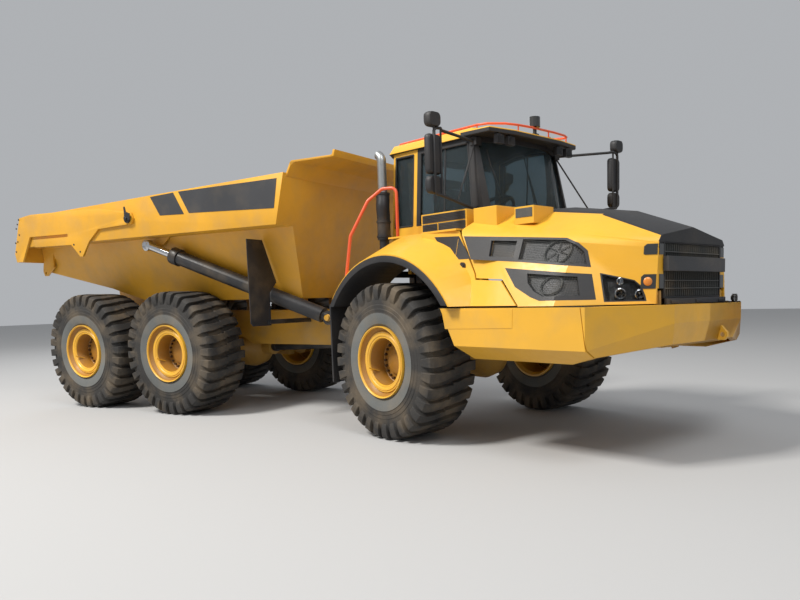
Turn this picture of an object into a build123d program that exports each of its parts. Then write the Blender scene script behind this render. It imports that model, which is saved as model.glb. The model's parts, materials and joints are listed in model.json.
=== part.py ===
from build123d import *

import os
from math import cos, radians, sin

# Articulated dump truck with six driven wheels, of the 45 tonne class.
# Millimetres, +Z up, +X forward along the rear unit, +Y to the left, floor at Z = 0.
# The rear unit is drawn about the point midway between its two axles. The front unit is
# drawn straight ahead about its own axle, and turned about the hitch when it is written.
# The written model has its origin on the floor, under the middle of its box.

# ---------------------------------------------------------------- driving dimensions
wheelbase = 4515.0  # front axle to the first bogie axle
bogie_spacing = 1940.0
hitch_to_axle = 1278.0  # steering pin to the front axle
steer_at_rest = -16.7  # degrees, the nose turned to the right

track = 2640.0
tyre_radius = 890.0
tyre_half_width = 345.0
rim_flange_radius = 408.0
rim_face = 349.0  # outer face of the rim from the wheel's middle plane
rim_seat_radius = 386.0
hub_radius = 228.0
spindle_radius = 110.0
axle_tube_radius = 150.0
axle_ball_radius = 330.0

rest_gap = 0.3  # between pieces that seat on each other
pin_gap = 0.3  # round pins and shafts that turn
moving_gap = 6.0  # between a moving piece and its neighbours
panel_gap = 8.0  # seams between outer panels

frame_rail_inner = 340.0  # half distance between the rails
frame_rail_width = 120.0
frame_top = 1470.0
frame_bottom = 1060.0
roll_axis_height = 1180.0
hitch_shaft_radius = 200.0
steer_pin_radius = 80.0

body_floor = 1640.0
body_floor_half = 950.0
body_chine_half = 1345.0
body_side_half = 1650.0
body_band_low = 2565.0
body_rail_front = 3190.0
body_rail_slope = 0.027
body_front_top = 3360.0  # x of the front wall at the rail
body_front_low = 2950.0  # x of the front wall at the floor
body_tail = -2440.0
body_wall = 25.0
band_wall = 55.0
tip_pin = (-1420.0, 1390.0)  # x, z
tip_pin_radius = 60.0
gate_pin = (386.0, 2830.0)  # x, z
gate_pin_radius = 45.0
gate_plate = 30.0

hoist_eye = (513.0, 1480.0, 2455.0)  # at the dump body, x, y, z
hoist_foot = (3400.0, 940.0, 1365.0)  # at the frame
hoist_barrel_radius = 104.0
hoist_rod_radius = 56.0
hoist_rod_shown = 480.0  # rod outside the barrel at rest
hoist_ball_radius = 66.0  # ball bearing in the barrel's foot

bumper_top = 1488.0
bumper_low_side = 1040.0
bumper_low_nose = 1190.0
bumper_nose = 3115.0
bumper_nose_half = 665.0
bumper_corner = 2290.0  # x where the nose starts to narrow
skirt_half = 1540.0
skirt_plate = 24.0

arch_centre = (70.0, 800.0)  # x, z of the front wheel arch
arch_radius = 1275.0
fender_outer = 1640.0
fender_inner = 1150.0
deck_height = 2330.0
platform_height = 2090.0  # the left fender, under the door

cab_floor = 1990.0
cab_sill = 2480.0  # lower edge of the side windows
cab_head = 3330.0  # upper edge of the windows
cab_roof_base = 3385.0
cab_roof_top = 3490.0
visor_front = 985.0
cab_rear = -900.0
cab_front = 830.0
cab_half_low = 860.0
cab_half_high = 775.0
cab_wall = 55.0
glass_thickness = 8.0

hood_hinge = (2896.0, 1592.0)  # x, z
hood_front = 2930.0
hood_wall = 20.0
hinge_pin_radius = 18.0

handrail_radius = 19.0
mirror_tube_radius = 16.0

# ---------------------------------------------------------------- worked out from them
hitch_x = bogie_spacing / 2 + wheelbase - hitch_to_axle
front_place = Location((hitch_x, 0, 0), (0, 0, steer_at_rest)) * Location((hitch_to_axle, 0, 0))
wheel_height = tyre_radius
rail_y = (frame_rail_inner, frame_rail_inner + frame_rail_width)
sides = {"left": 1, "right": -1}


# ---------------------------------------------------------------- shapes used again and again
def block(x, y, z, mode=Mode.ADD):
    """A box between two limits along each axis."""
    with Locations(((x[0] + x[1]) / 2, (y[0] + y[1]) / 2, (z[0] + z[1]) / 2)):
        Box(x[1] - x[0], y[1] - y[0], z[1] - z[0], mode=mode)


def plate_xz(outline, y, mode=Mode.ADD):
    """A flat plate across the machine: corners as (x, z), and its two limits in y."""
    with BuildSketch(Plane.XZ.offset(-y[0])) as profile:
        with BuildLine():
            Polyline(*outline, close=True)
        make_face()
    extrude(profile.sketch, amount=y[0] - y[1], mode=mode)


def plate_xy(outline, z, mode=Mode.ADD):
    """A level plate: corners as (x, y), and its two limits in z."""
    with BuildSketch(Plane.XY.offset(z[0])) as profile:
        with BuildLine():
            Polyline(*outline, close=True)
        make_face()
    extrude(profile.sketch, amount=z[1] - z[0], mode=mode)


def rod(start, end, radius, mode=Mode.ADD):
    """A round bar from one point to another."""
    start, end = Vector(*start), Vector(*end)
    with BuildSketch(Plane(origin=start, z_dir=end - start)) as profile:
        Circle(radius)
    extrude(profile.sketch, amount=(end - start).length, mode=mode)


def bent_tube(points, bend, radius):
    """A round tube along straight runs joined by bends."""
    with BuildLine() as path:
        FilletPolyline(*points, radius=bend)
    with BuildSketch(Plane(origin=path.line @ 0, z_dir=path.line % 0)) as profile:
        Circle(radius)
    sweep(profile.sketch, path=path.line)


def section_yz(x, outline):
    """A section across the machine at x: half outline as (y, z), mirrored to the other side."""
    other = [(-y, z) for y, z in reversed(outline) if y > 0]
    with BuildSketch(Plane.YZ.offset(x)) as profile:
        with BuildLine():
            Polyline(*outline, *other, close=True)
        make_face()
    return profile.sketch


def ruled_body(sections):
    """Flat-sided solid through sections, one loft between each pair."""
    for first, second in zip(sections, sections[1:]):
        loft(sections=[first, second], ruled=True)


# ---------------------------------------------------------------- wheels
bead_half = 308.0
# the tyre's outline: distance from the middle plane, radius
tyre_outline = [
    (bead_half, rim_seat_radius + rest_gap),
    (bead_half, rim_flange_radius + 6),
    (tyre_half_width - 9, rim_flange_radius + 62),
    (tyre_half_width, 640.0),
    (tyre_half_width - 7, 770.0),
    (tyre_half_width - 30, tyre_radius - 34),
    (tyre_half_width - 62, tyre_radius),
]
with BuildPart() as tyre_form:
    with BuildSketch(Plane.YZ):
        with BuildLine():
            Polyline(*tyre_outline, *[(-y, r) for y, r in reversed(tyre_outline)], close=True)
        make_face()
    revolve(axis=Axis.Y)

barrel_wall = 34.0
hub_inner_face = 120.0  # towards the truck, from the middle plane
hub_outer_face = 222.0
spindle_end = 90.0
with BuildPart() as rim_form:
    with BuildSketch(Plane.YZ):
        with BuildLine():
            Polyline(
                (-rim_face, rim_flange_radius),
                (-bead_half - rest_gap, rim_flange_radius),
                (-bead_half - rest_gap, rim_seat_radius),
                (bead_half + rest_gap, rim_seat_radius),
                (bead_half + rest_gap, rim_flange_radius),
                (rim_face, rim_flange_radius),
                (rim_face, rim_flange_radius - 22),
                (rim_face - 60, rim_seat_radius - barrel_wall),
                (-rim_face + 60, rim_seat_radius - barrel_wall),
                (-rim_face, rim_flange_radius - 22),
                close=True,
            )
        make_face()
    revolve(axis=Axis.Y)
    with BuildSketch(Plane.YZ):
        with BuildLine():
            Polyline(
                (40, 0),
                (40, rim_seat_radius - barrel_wall + 1),
                (70, rim_seat_radius - barrel_wall + 1),
                (70, hub_radius),
                (hub_outer_face - 40, hub_radius),
                (hub_outer_face, hub_radius - 50),
                (hub_outer_face, 0),
                close=True,
            )
        make_face()
    revolve(axis=Axis.Y)
    rod((0, -hub_inner_face, 0), (0, 45, 0), hub_radius)
    rod((0, -hub_inner_face, 0), (0, spindle_end, 0), spindle_radius + pin_gap, Mode.SUBTRACT)

axle_places = {"front": 0.0, "middle": bogie_spacing / 2, "rear": -bogie_spacing / 2}
wheel_pieces = {}
for axle_name, axle_x in axle_places.items():
    for side_name, side in sides.items():
        place = Location((axle_x, side * track / 2, wheel_height), (0, 0, 0 if side > 0 else 180))
        with BuildPart() as tyre:
            add(tyre_form.part.moved(place))
        tyre.part.label = f"tyre_{axle_name}_{side_name}"
        with BuildPart() as rim:
            add(rim_form.part.moved(place))
        rim.part.label = f"rim_{axle_name}_{side_name}"
        wheel_pieces[axle_name, side_name] = [tyre.part, rim.part]


# ---------------------------------------------------------------- axles
def axle_profile():
    """Differential housing, axle tubes and wheel spindles, turned about the axle's line."""
    hub_face = track / 2 - hub_inner_face - rest_gap
    half = [
        (0, axle_ball_radius),
        (150, axle_ball_radius - 30),
        (280, 190),
        (frame_rail_inner - 5, axle_tube_radius),
        (hub_face - 120, axle_tube_radius),
        (hub_face - 120, hub_radius - 20),
        (hub_face, hub_radius - 20),
        (hub_face, spindle_radius),
        (track / 2 + spindle_end - 15, spindle_radius),
    ]
    with BuildSketch(Plane.YZ) as profile:
        with BuildLine():
            Polyline(
                *[(-y, r) for y, r in reversed(half)],
                *half[1:],
                (half[-1][0], 0),
                (-half[-1][0], 0),
                close=True,
            )
        make_face()
    return profile.sketch


nose_length = 470.0
with BuildPart() as axle_form:
    revolve(axle_profile(), axis=Axis.Y)
    rod((0, 0, 0), (nose_length, 0, 0), 130)

strut_y = 620.0
strut_radius = 72.0
strut_top = frame_top + 110.0
with BuildPart() as front_axle:
    add(axle_form.part.rotate(Axis.Z, 180).moved(Location((0, 0, wheel_height))))
    for side in sides.values():
        rod((0, side * strut_y, wheel_height), (0, side * strut_y, strut_top), strut_radius)
        rod((0, side * strut_y, wheel_height + 330), (0, side * strut_y, strut_top - 60), strut_radius + 24)
front_axle.part.label = "front_axle"

with BuildPart() as middle_axle:
    add(axle_form.part.moved(Location((bogie_spacing / 2, 0, wheel_height))))
middle_axle.part.label = "middle_axle"

with BuildPart() as rear_axle:
    add(axle_form.part.moved(Location((-bogie_spacing / 2, 0, wheel_height))))
rear_axle.part.label = "rear_axle"

# ---------------------------------------------------------------- bogie beams
beam_y = (600.0, 720.0)
trunnion_radius = 95.0
with BuildPart() as bogie_beams:
    beam_end = bogie_spacing / 2 + 210
    plate_xz(
        [
            (-beam_end, wheel_height - 190),
            (-beam_end, wheel_height + 190),
            (-300, wheel_height + 250),
            (300, wheel_height + 250),
            (beam_end, wheel_height + 190),
            (beam_end, wheel_height - 190),
            (300, wheel_height - 150),
            (-300, wheel_height - 150),
        ],
        beam_y,
    )
    for x in (-bogie_spacing / 2, bogie_spacing / 2):
        rod((x, 500, wheel_height), (x, 800, wheel_height), axle_tube_radius + rest_gap, Mode.SUBTRACT)
    rod((0, 500, wheel_height), (0, 800, wheel_height), trunnion_radius + pin_gap, Mode.SUBTRACT)
    mirror(about=Plane.XZ)
bogie_beams.part.label = "bogie_beams"

# ---------------------------------------------------------------- rear frame
roll_tube = (hitch_x - 760.0, hitch_x - 330.0)  # the hitch shaft's bearing along x
pad_x = [600.0, 1500.0, 2400.0]
with BuildPart() as rear_frame:
    plate_xz(
        [
            (tip_pin[0] - 150, frame_bottom + 130),
            (tip_pin[0] - 150, frame_top),
            (roll_tube[0] - 250, frame_top),
            (roll_tube[0] + 40, frame_top - 60),
            (roll_tube[0] + 40, frame_bottom - 100),
            (1450, frame_bottom - 100),
            (1250, frame_bottom),
            (-1250, frame_bottom),
        ],
        rail_y,
    )
    # hanger and pin of the bogie beam
    plate_xz(
        [(-280, frame_bottom + 40), (280, frame_bottom + 40), (150, wheel_height - 140), (-150, wheel_height - 140)],
        rail_y,
    )
    rod((0, rail_y[0], wheel_height), (0, beam_y[1] + 25, wheel_height), trunnion_radius)
    for x in pad_x:
        block((x - 90, x + 90), rail_y, (frame_top - 10, body_floor - moving_gap))
    # outriggers that carry the hoist cylinders
    block(
        (hoist_foot[0] - 55, hoist_foot[0] + 60),
        (rail_y[0], hoist_foot[1] - 70),
        (hoist_foot[2] - 110, hoist_foot[2] + 55),
    )
    rod(
        (hoist_foot[0], hoist_foot[1] - 160, hoist_foot[2]),
        (hoist_foot[0], hoist_foot[1] + 75, hoist_foot[2]),
        40,
    )
    with Locations(hoist_foot):
        Sphere(hoist_ball_radius)
    mirror(about=Plane.XZ)
    for x in (-1150.0, 0.0, 1600.0, 2500.0):
        block((x - 80, x + 80), (-rail_y[0] - 1, rail_y[0] + 1), (frame_top - 230, frame_top - 20))
    rod((tip_pin[0], -rail_y[1] - 90, tip_pin[1]), (tip_pin[0], rail_y[1] + 90, tip_pin[1]), tip_pin_radius)
    block((roll_tube[0] - 90, roll_tube[0] + 60), (-rail_y[1], rail_y[1]), (frame_bottom - 100, frame_top - 60))
    rod((roll_tube[0], 0, roll_axis_height), (roll_tube[1], 0, roll_axis_height), hitch_shaft_radius + 65)
    rod(
        (roll_tube[0] - 200, 0, roll_axis_height),
        (roll_tube[1] + 1, 0, roll_axis_height),
        hitch_shaft_radius + pin_gap,
        Mode.SUBTRACT,
    )
    # tail crossmember with the towing jaw
    tail_x = tip_pin[0] - 150
    block((tail_x - 40, tail_x + 1), (-rail_y[1], rail_y[1]), (frame_bottom + 130, frame_top - 120))
    for z in (frame_bottom + 170, frame_bottom + 270):
        block((tail_x - 190, tail_x - 39), (-70, 70), (z - 20, z + 20))
    rod(
        (tail_x - 130, 0, frame_bottom + 100),
        (tail_x - 130, 0, frame_bottom + 320),
        25,
        Mode.SUBTRACT,
    )
rear_frame.part.label = "rear_frame"

with BuildPart() as propshafts:
    rod(
        (-bogie_spacing / 2 + nose_length + rest_gap, 0, wheel_height),
        (bogie_spacing / 2 - axle_ball_radius - rest_gap, 0, wheel_height),
        62,
    )
    nose_x = bogie_spacing / 2 + nose_length + rest_gap
    rod((nose_x, 0, wheel_height), (nose_x + 70, 0, wheel_height), 82)
    rod((nose_x + 60, 0, wheel_height), (roll_tube[0] - 120, 0, roll_axis_height - 210), 66)
propshafts.part.label = "propshafts"

# black plates that keep the front wheels' dirt off the hoist cylinders, as (y, z)
guard_x = (2590.0, 2602.0)
guard_outer = 1585.0
guard_top = 2425.0
guard_low = 1275.0
guard_notch = [(1215.0, guard_low), (1215.0, 1715.0), (1080.0, 1862.0)]  # round the hoist cylinder
body_lean = (body_chine_half - body_floor_half) / (body_band_low - body_floor)
guard_inner_top = body_floor_half + (guard_top - body_floor) * body_lean + 20
with BuildPart() as side_guards:
    with BuildSketch(Plane.YZ.offset(guard_x[0])) as guard_face:
        with BuildLine():
            Polyline(
                *guard_notch,
                (guard_inner_top, guard_top),
                (guard_outer, guard_top),
                (guard_outer, guard_low + 40),
                (guard_outer - 40, guard_low),
                close=True,
            )
        make_face()
    extrude(guard_face.sketch, amount=guard_x[1] - guard_x[0])
    block(
        (guard_x[1] - 40, guard_x[1] + 40),
        (rail_y[1] + rest_gap, guard_notch[0][0] + 60),
        (guard_low + 20, guard_low + 80),
    )
    mirror(about=Plane.XZ)
side_guards.part.label = "side_guards"


# ---------------------------------------------------------------- dump body
def rail_height(x):
    """Height of the body's top rail, which falls gently towards the tail."""
    return body_rail_front - (body_front_top - x) * body_rail_slope


# sections of the body: x, height of the floor, half width of the floor
body_sections = [
    (body_tail - 200, 2240.0, 1290.0),
    (-1000.0, 1868.0, 1060.0),
    (-250.0, body_floor, body_floor_half),
    (body_front_top + 200, body_floor, body_floor_half),
]
front_lean = (body_front_top - body_front_low) / (rail_height(body_front_top) - body_floor)


def body_outline(x, floor, half):
    return [
        (0, floor),
        (half, floor),
        (body_chine_half, body_band_low),
        (body_side_half, body_band_low),
        (body_side_half, rail_height(x)),
    ]


def body_hollow(x, floor, half):
    return [
        (0, floor + body_wall),
        (half - body_wall * 0.8, floor + body_wall),
        (body_chine_half - body_wall * 1.1, body_band_low + 10),
        (body_side_half - band_wall, body_band_low + 200),
        (body_side_half - band_wall, rail_height(x) + 10),
    ]


def leaning_wedge(shift, mode=Mode.SUBTRACT):
    """Everything ahead of the leaning front wall, moved forward by shift."""
    low, high = body_floor - 100, body_rail_front + 600
    plate_xz(
        [
            (body_front_low + shift + (low - body_floor) * front_lean, low),
            (body_front_low + shift + (high - body_floor) * front_lean, high),
            (body_front_top + 900, high),
            (body_front_top + 900, low),
        ],
        (-body_side_half - 50, body_side_half + 50),
        mode,
    )


with BuildPart() as body_inside:
    ruled_body([section_yz(x, body_hollow(x, floor, half)) for x, floor, half in body_sections])
    leaning_wedge(-body_wall)

gate_lean = 0.21  # the gate leans forward as it rises
with BuildPart() as dump_body:
    ruled_body([section_yz(x, body_outline(x, floor, half)) for x, floor, half in body_sections])
    leaning_wedge(0)
    add(body_inside.part, mode=Mode.SUBTRACT)
    # cut square to the chute's floor, where the gate closes it
    plate_xz(
        [
            (body_tail - 900, 1500),
            (body_tail - 900, 3600),
            (body_tail + (3600 - 2240) * gate_lean, 3600),
            (body_tail + (1500 - 2240) * gate_lean, 1500),
        ],
        (-body_side_half - 50, body_side_half + 50),
        Mode.SUBTRACT,
    )
    # spill guard over the cab: a steep plate, a shallow plate and a lip
    guard_root = rail_height(body_front_top) - 40
    guard_profile = [
        (body_front_top - 30, guard_root),
        (body_front_top - 4, guard_root),
        (body_front_top + 95, guard_root + 165),
        (body_front_top + 420, guard_root + 262),
        (body_front_top + 440, guard_root + 345),
        (body_front_top + 415, guard_root + 345),
        (body_front_top + 400, guard_root + 285),
        (body_front_top + 75, guard_root + 185),
    ]
    plate_xz(guard_profile, (-body_side_half + 60, body_side_half - 60))
    for side in sides.values():
        plate_xy(
            [
                (body_front_top + 60, side * (body_side_half - 59)),
                (body_front_top + 60, side * (body_side_half + 20)),
                (body_front_top + 500, side * (body_side_half + 20)),
                (body_front_top + 500, side * 1150),
                (body_front_top + 380, side * 1200),
            ],
            (guard_root, guard_root + 500),
            Mode.SUBTRACT,
        )
    # ears on the tipping pin, under the chute
    for side in sides.values():
        ear = (rail_y[1] + moving_gap, rail_y[1] + moving_gap + 45)
        plate_xz(
            [
                (tip_pin[0] - 110, tip_pin[1] - 80),
                (tip_pin[0] + 110, tip_pin[1] - 80),
                (tip_pin[0] + 620, 1800),
                (tip_pin[0] + 420, 1890),
                (tip_pin[0] - 240, 2040),
            ],
            ear if side > 0 else (-ear[1], -ear[0]),
        )
    rod((tip_pin[0], -900, tip_pin[1]), (tip_pin[0], 900, tip_pin[1]), tip_pin_radius + pin_gap, Mode.SUBTRACT)
    # brackets under the band for the hoist cylinders' eyes
    for side in sides.values():
        inner = hoist_eye[1] - 110
        limits = (inner - 25, inner) if side > 0 else (-inner, -inner + 25)
        plate_xz(
            [
                (hoist_eye[0] - 260, body_band_low + 1),
                (hoist_eye[0] + 330, body_band_low + 1),
                (hoist_eye[0] + 90, hoist_eye[2] - 70),
                (hoist_eye[0] - 70, hoist_eye[2] - 70),
            ],
            limits,
        )
    # tail posts with lifting eyes
    for side in sides.values():
        limits = (1290.0, 1320.0) if side > 0 else (-1320.0, -1290.0)
        plate_xz(
            [
                (body_tail + 20, 2190),
                (body_tail + 60, 2110),
                (body_tail + 130, 2110),
                (body_tail + 330, 2250),
                (body_tail + 330, body_band_low + 1),
                (body_tail + 100, body_band_low + 1),
            ],
            limits,
        )
        rod(
            (body_tail + 95, side * 1280, 2160),
            (body_tail + 95, side * 1340, 2160),
            22,
            Mode.SUBTRACT,
        )
    # pins that the gate's arms swing on
    for side in sides.values():
        rod(
            (gate_pin[0], side * (body_side_half - 10), gate_pin[1]),
            (gate_pin[0], side * (body_side_half + moving_gap + gate_plate + 14), gate_pin[1]),
            gate_pin_radius,
        )
dump_body.part.label = "dump_body"

# ---------------------------------------------------------------- overhung gate
arm_y = (body_side_half + moving_gap, body_side_half + moving_gap + gate_plate)
gate_gap = 16.0
with BuildPart() as tailgate:
    gate_face_low = (body_tail - gate_gap + (2330 - 2240) * gate_lean, 2330.0)
    gate_face_high = (body_tail - gate_gap + (3030 - 2240) * gate_lean, 3030.0)
    plate_xz(
        [
            gate_face_low,
            gate_face_high,
            (gate_face_high[0] - 40, gate_face_high[1]),
            (gate_face_low[0] - 95, gate_face_low[1] + 130),
            (gate_face_low[0] - 60, gate_face_low[1]),
        ],
        (0, arm_y[1]),
    )
    plate_xz(
        [
            (gate_face_low[0] - 60, gate_face_low[1] + 5),
            (gate_face_low[0] - 95, gate_face_low[1] + 135),
            (gate_face_high[0] - 40, gate_face_high[1]),
            (-2010, rail_height(-2010) + 18),
            (-300, rail_height(-300) - 60),
            (gate_pin[0] + 60, gate_pin[1] + 85),
            (gate_pin[0] + 95, gate_pin[1]),
            (gate_pin[0] + 60, gate_pin[1] - 75),
            (-319, 2729),
            (-560, 2560),
            (-740, 2345),
            (-800, 2345),
            (-1000, 2535),
            (-1950, 2548),
            (-1990, 2665),
            (-1076, 2660),
            (-1076, 2705),
            (-2080, 2715),
            (-2330, 2330),
        ],
        arm_y,
    )
    rod((gate_pin[0], arm_y[0] - 1, gate_pin[1]), (gate_pin[0], arm_y[1] + 1, gate_pin[1]), gate_pin_radius + pin_gap, Mode.SUBTRACT)
    mirror(about=Plane.XZ)
tailgate.part.label = "tailgate"

# ---------------------------------------------------------------- hoist cylinders
hoist_pieces = {}
for side_name, side in sides.items():
    foot = Vector(hoist_foot[0], side * hoist_foot[1], hoist_foot[2])
    eye = Vector(hoist_eye[0], side * hoist_eye[1], hoist_eye[2])
    line = (eye - foot).normalized()
    gland = eye - line * hoist_rod_shown
    with BuildPart() as hoist_barrel:
        rod(foot + line * 105, gland, hoist_barrel_radius)
        rod(foot + line * 30, foot + line * 106, 62)
        rod(gland - line * 110, gland + line * 12, hoist_barrel_radius + 20)
        rod(foot - Vector(0, 45, 0), foot + Vector(0, 45, 0), 95)
        rod(foot + line * 128, gland + line * 13, hoist_rod_radius + 0.3, Mode.SUBTRACT)
        with Locations(foot):
            Sphere(hoist_ball_radius + pin_gap, mode=Mode.SUBTRACT)
        rod(foot - Vector(0, 100, 0), foot + Vector(0, 100, 0), 50, Mode.SUBTRACT)
    hoist_barrel.part.label = f"hoist_barrel_{side_name}"
    with BuildPart() as hoist_rod:
        rod(foot + line * 134, eye, hoist_rod_radius)
        rod(eye - Vector(0, 42, 0), eye + Vector(0, 42, 0), 80)
    hoist_rod.part.label = f"hoist_rod_{side_name}"
    hoist_pieces[side_name] = [hoist_barrel.part, hoist_rod.part]

# ---------------------------------------------------------------- hitch
fork_gap = moving_gap
boss_z = (965.0, 1395.0)
ear_z = (700.0, 745.0)
steer_ear = (-250.0, 340.0)  # x and y from the steering pin, on the hitch
with BuildPart() as hitch:
    rod((roll_tube[0] + 80, 0, roll_axis_height), (hitch_x - 200, 0, roll_axis_height), hitch_shaft_radius)
    rod(
        (roll_tube[1] + moving_gap, 0, roll_axis_height),
        (hitch_x - 230, 0, roll_axis_height),
        hitch_shaft_radius + 110,
    )
    block((hitch_x - 240, hitch_x), (-115, 115), (boss_z[0] + 15, boss_z[1] - 15))
    rod((hitch_x, 0, boss_z[0]), (hitch_x, 0, boss_z[1]), 145)
    # arm under the flange with the steering cylinders' ears
    block((hitch_x - 310, hitch_x - 235), (-200, 200), (ear_z[0], roll_axis_height - 200))
    block(
        (hitch_x + steer_ear[0] - 60, hitch_x + steer_ear[0] + 60),
        (-steer_ear[1] - 60, steer_ear[1] + 60),
        ear_z,
    )
    rod((hitch_x, 0, boss_z[0] - 1), (hitch_x, 0, boss_z[1] + 1), steer_pin_radius + pin_gap, Mode.SUBTRACT)
hitch.part.label = "hitch"

# ---------------------------------------------------------------- front frame
fork_x = -hitch_to_axle
fork_half = 190.0
front_rail_bottom = 960.0
front_rail_top = 1400.0
steer_foot = (-330.0, 560.0)  # steering cylinder's foot on the front frame
steer_z = 815.0
crossbox_x = (2560.0, 2960.0)
lug_y = 624.0  # inner face of the hood's hinge lug


def front_rail_height(x):
    """Height of the front rails' upper edge, which falls towards the nose."""
    start = fork_x + 260
    return front_rail_top + 70 * (crossbox_x[0] + 1 - x) / (crossbox_x[0] + 1 - start)


with BuildPart() as front_frame:
    plate_xz(
        [
            (fork_x + 260, front_rail_bottom),
            (fork_x + 260, front_rail_top + 70),
            (crossbox_x[0] + 1, front_rail_top),
            (crossbox_x[0] + 1, front_rail_bottom + 130),
            (1500, front_rail_bottom),
            (620, front_rail_bottom),
            (380, frame_bottom),
            (-380, frame_bottom),
            (-560, front_rail_bottom),
        ],
        rail_y,
    )
    # bracket and pin of the steering cylinder, and the strut's seat
    block((steer_foot[0] - 80, steer_foot[0] + 60), (rail_y[0], steer_foot[1] + 70), (steer_z + 75, frame_bottom + 20))
    rod((*steer_foot, steer_z - 65), (*steer_foot, steer_z + 80), 32)
    block((-130, 130), (rail_y[1] - 1, strut_y + 110), (strut_top + rest_gap, strut_top + 120))
    block((-130, 130), rail_y, (front_rail_top - 20, strut_top + 120))
    # hinge lugs of the hood
    plate_xz(
        [
            (hood_hinge[0] - 40, bumper_top - 91),
            (hood_hinge[0] + 34, bumper_top - 91),
            (hood_hinge[0] + 28, hood_hinge[1] + 28),
            (hood_hinge[0] - 28, hood_hinge[1] + 28),
        ],
        (lug_y - 36, lug_y - moving_gap),
    )
    rod((hood_hinge[0], lug_y - 20, hood_hinge[1]), (hood_hinge[0], lug_y + 40, hood_hinge[1]), hinge_pin_radius)
    mirror(about=Plane.XZ)
    # fork plates on the steering pin
    for z in ((boss_z[1] + fork_gap, front_rail_top + 70), (boss_z[0] - 66, boss_z[0] - fork_gap)):
        plate_xy(
            [
                (fork_x - 60, -fork_half),
                (fork_x - 130, -fork_half + 90),
                (fork_x - 130, fork_half - 90),
                (fork_x - 60, fork_half),
                (fork_x + 261, rail_y[1]),
                (fork_x + 470, rail_y[1]),
                (fork_x + 470, -rail_y[1]),
                (fork_x + 261, -rail_y[1]),
            ],
            z,
        )
    rod((fork_x, 0, boss_z[0] - 90), (fork_x, 0, front_rail_top + 95), steer_pin_radius)
    block((-560, -460), (-rail_y[0] - 1, rail_y[0] + 1), (front_rail_top - 200, front_rail_top))
    block((560, 660), (-rail_y[0] - 1, rail_y[0] + 1), (front_rail_bottom + 20, front_rail_bottom + 200))
    block(crossbox_x, (-620, 620), (front_rail_bottom + 130, bumper_top - 100 + 10))
front_frame.part.label = "front_frame"

# ---------------------------------------------------------------- steering cylinders
steer_pieces = {}
steer_rod_length = 795.0
turn = radians(-steer_at_rest)
for side_name, side in sides.items():
    foot = Vector(steer_foot[0], side * steer_foot[1], steer_z)
    ear_x, ear_y = steer_ear[0], side * steer_ear[1]
    eye = Vector(
        fork_x + ear_x * cos(turn) - ear_y * sin(turn),
        ear_x * sin(turn) + ear_y * cos(turn),
        steer_z,
    )
    line = (eye - foot).normalized()
    gland = foot + line * 790
    with BuildPart() as steer_barrel:
        rod(foot + line * 40, gland, 55)
        rod(foot - Vector(0, 0, 50), foot + Vector(0, 0, 50), 62)
        rod(foot + line * 120, gland + line, 30.3, Mode.SUBTRACT)
        rod(foot - Vector(0, 0, 60), foot + Vector(0, 0, 60), 32 + pin_gap, Mode.SUBTRACT)
    steer_barrel.part.label = f"steering_barrel_{side_name}"
    with BuildPart() as steer_rod:
        rod(eye - line * steer_rod_length, eye, 30)
        rod(eye - Vector(0, 0, 40), eye + Vector(0, 0, 40), 52)
        rod(eye - Vector(0, 0, steer_z - ear_z[1] - 0.5), eye, 34)
    steer_rod.part.label = f"steering_rod_{side_name}"
    steer_pieces[side_name] = [steer_barrel.part, steer_rod.part]

# ---------------------------------------------------------------- engine
with BuildPart() as engine_block:
    block((1060, 2450), (-440, 440), (front_rail_height(1060) + rest_gap, 2250))
    block((720, 1061), (-rail_y[0] + 20, rail_y[0] - 20), (1150, cab_floor - 40))
engine_block.part.label = "engine_block"


# ---------------------------------------------------------------- bumper and skirts
def nose_outline(inset):
    """Plan of the nose, from the left seam round to the right one."""
    half = [
        (bumper_corner, skirt_half - inset),
        (bumper_nose - 60 - inset, bumper_nose_half + 40 - inset * 0.7),
        (bumper_nose - inset, bumper_nose_half - 90 - inset * 0.4),
    ]
    return half + [(x, -y) for x, y in reversed(half)]


with BuildPart() as bumper:
    plate_xy(nose_outline(0), (bumper_low_side - 40, bumper_top))
    plate_xy(
        [(bumper_corner - 200, skirt_half - 30), *nose_outline(30), (bumper_corner - 200, -skirt_half + 30)],
        (bumper_low_side - 100, bumper_top - 25),
        Mode.SUBTRACT,
    )
    # the top ledge is open over the frame
    block((bumper_corner - 100, 2990), (-620, 620), (bumper_top - 60, bumper_top + 1), Mode.SUBTRACT)
    # the underside rises towards the nose
    plate_xz(
        [
            (bumper_corner - 10, bumper_low_side - 200),
            (bumper_corner - 10, bumper_low_side),
            (bumper_corner + 60, bumper_low_side),
            (bumper_nose + 10, bumper_low_nose),
            (bumper_nose + 10, bumper_low_side - 200),
        ],
        (-skirt_half - 10, skirt_half + 10),
        Mode.SUBTRACT,
    )
    # towing lugs under the nose, and the seat on the frame
    for side in sides.values():
        plate_xz(
            [
                (crossbox_x[1] + rest_gap, bumper_low_nose + 110),
                (bumper_nose + 10, bumper_low_nose + 110),
                (bumper_nose + 40, bumper_low_nose - 30),
                (bumper_nose + 25, bumper_low_nose - 100),
                (bumper_nose - 45, bumper_low_nose - 105),
                (crossbox_x[1] + rest_gap, bumper_low_nose + 20),
            ],
            (270, 310) if side > 0 else (-310, -270),
        )
        rod(
            (bumper_nose - 5, side * 260, bumper_low_nose - 60),
            (bumper_nose - 5, side * 320, bumper_low_nose - 60),
            24,
            Mode.SUBTRACT,
        )
        block(
            (crossbox_x[1] + rest_gap, bumper_nose - 29),
            (400, 440) if side > 0 else (-440, -400),
            (bumper_low_nose + 20, bumper_top - 62),
        )
bumper.part.label = "bumper"

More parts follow.
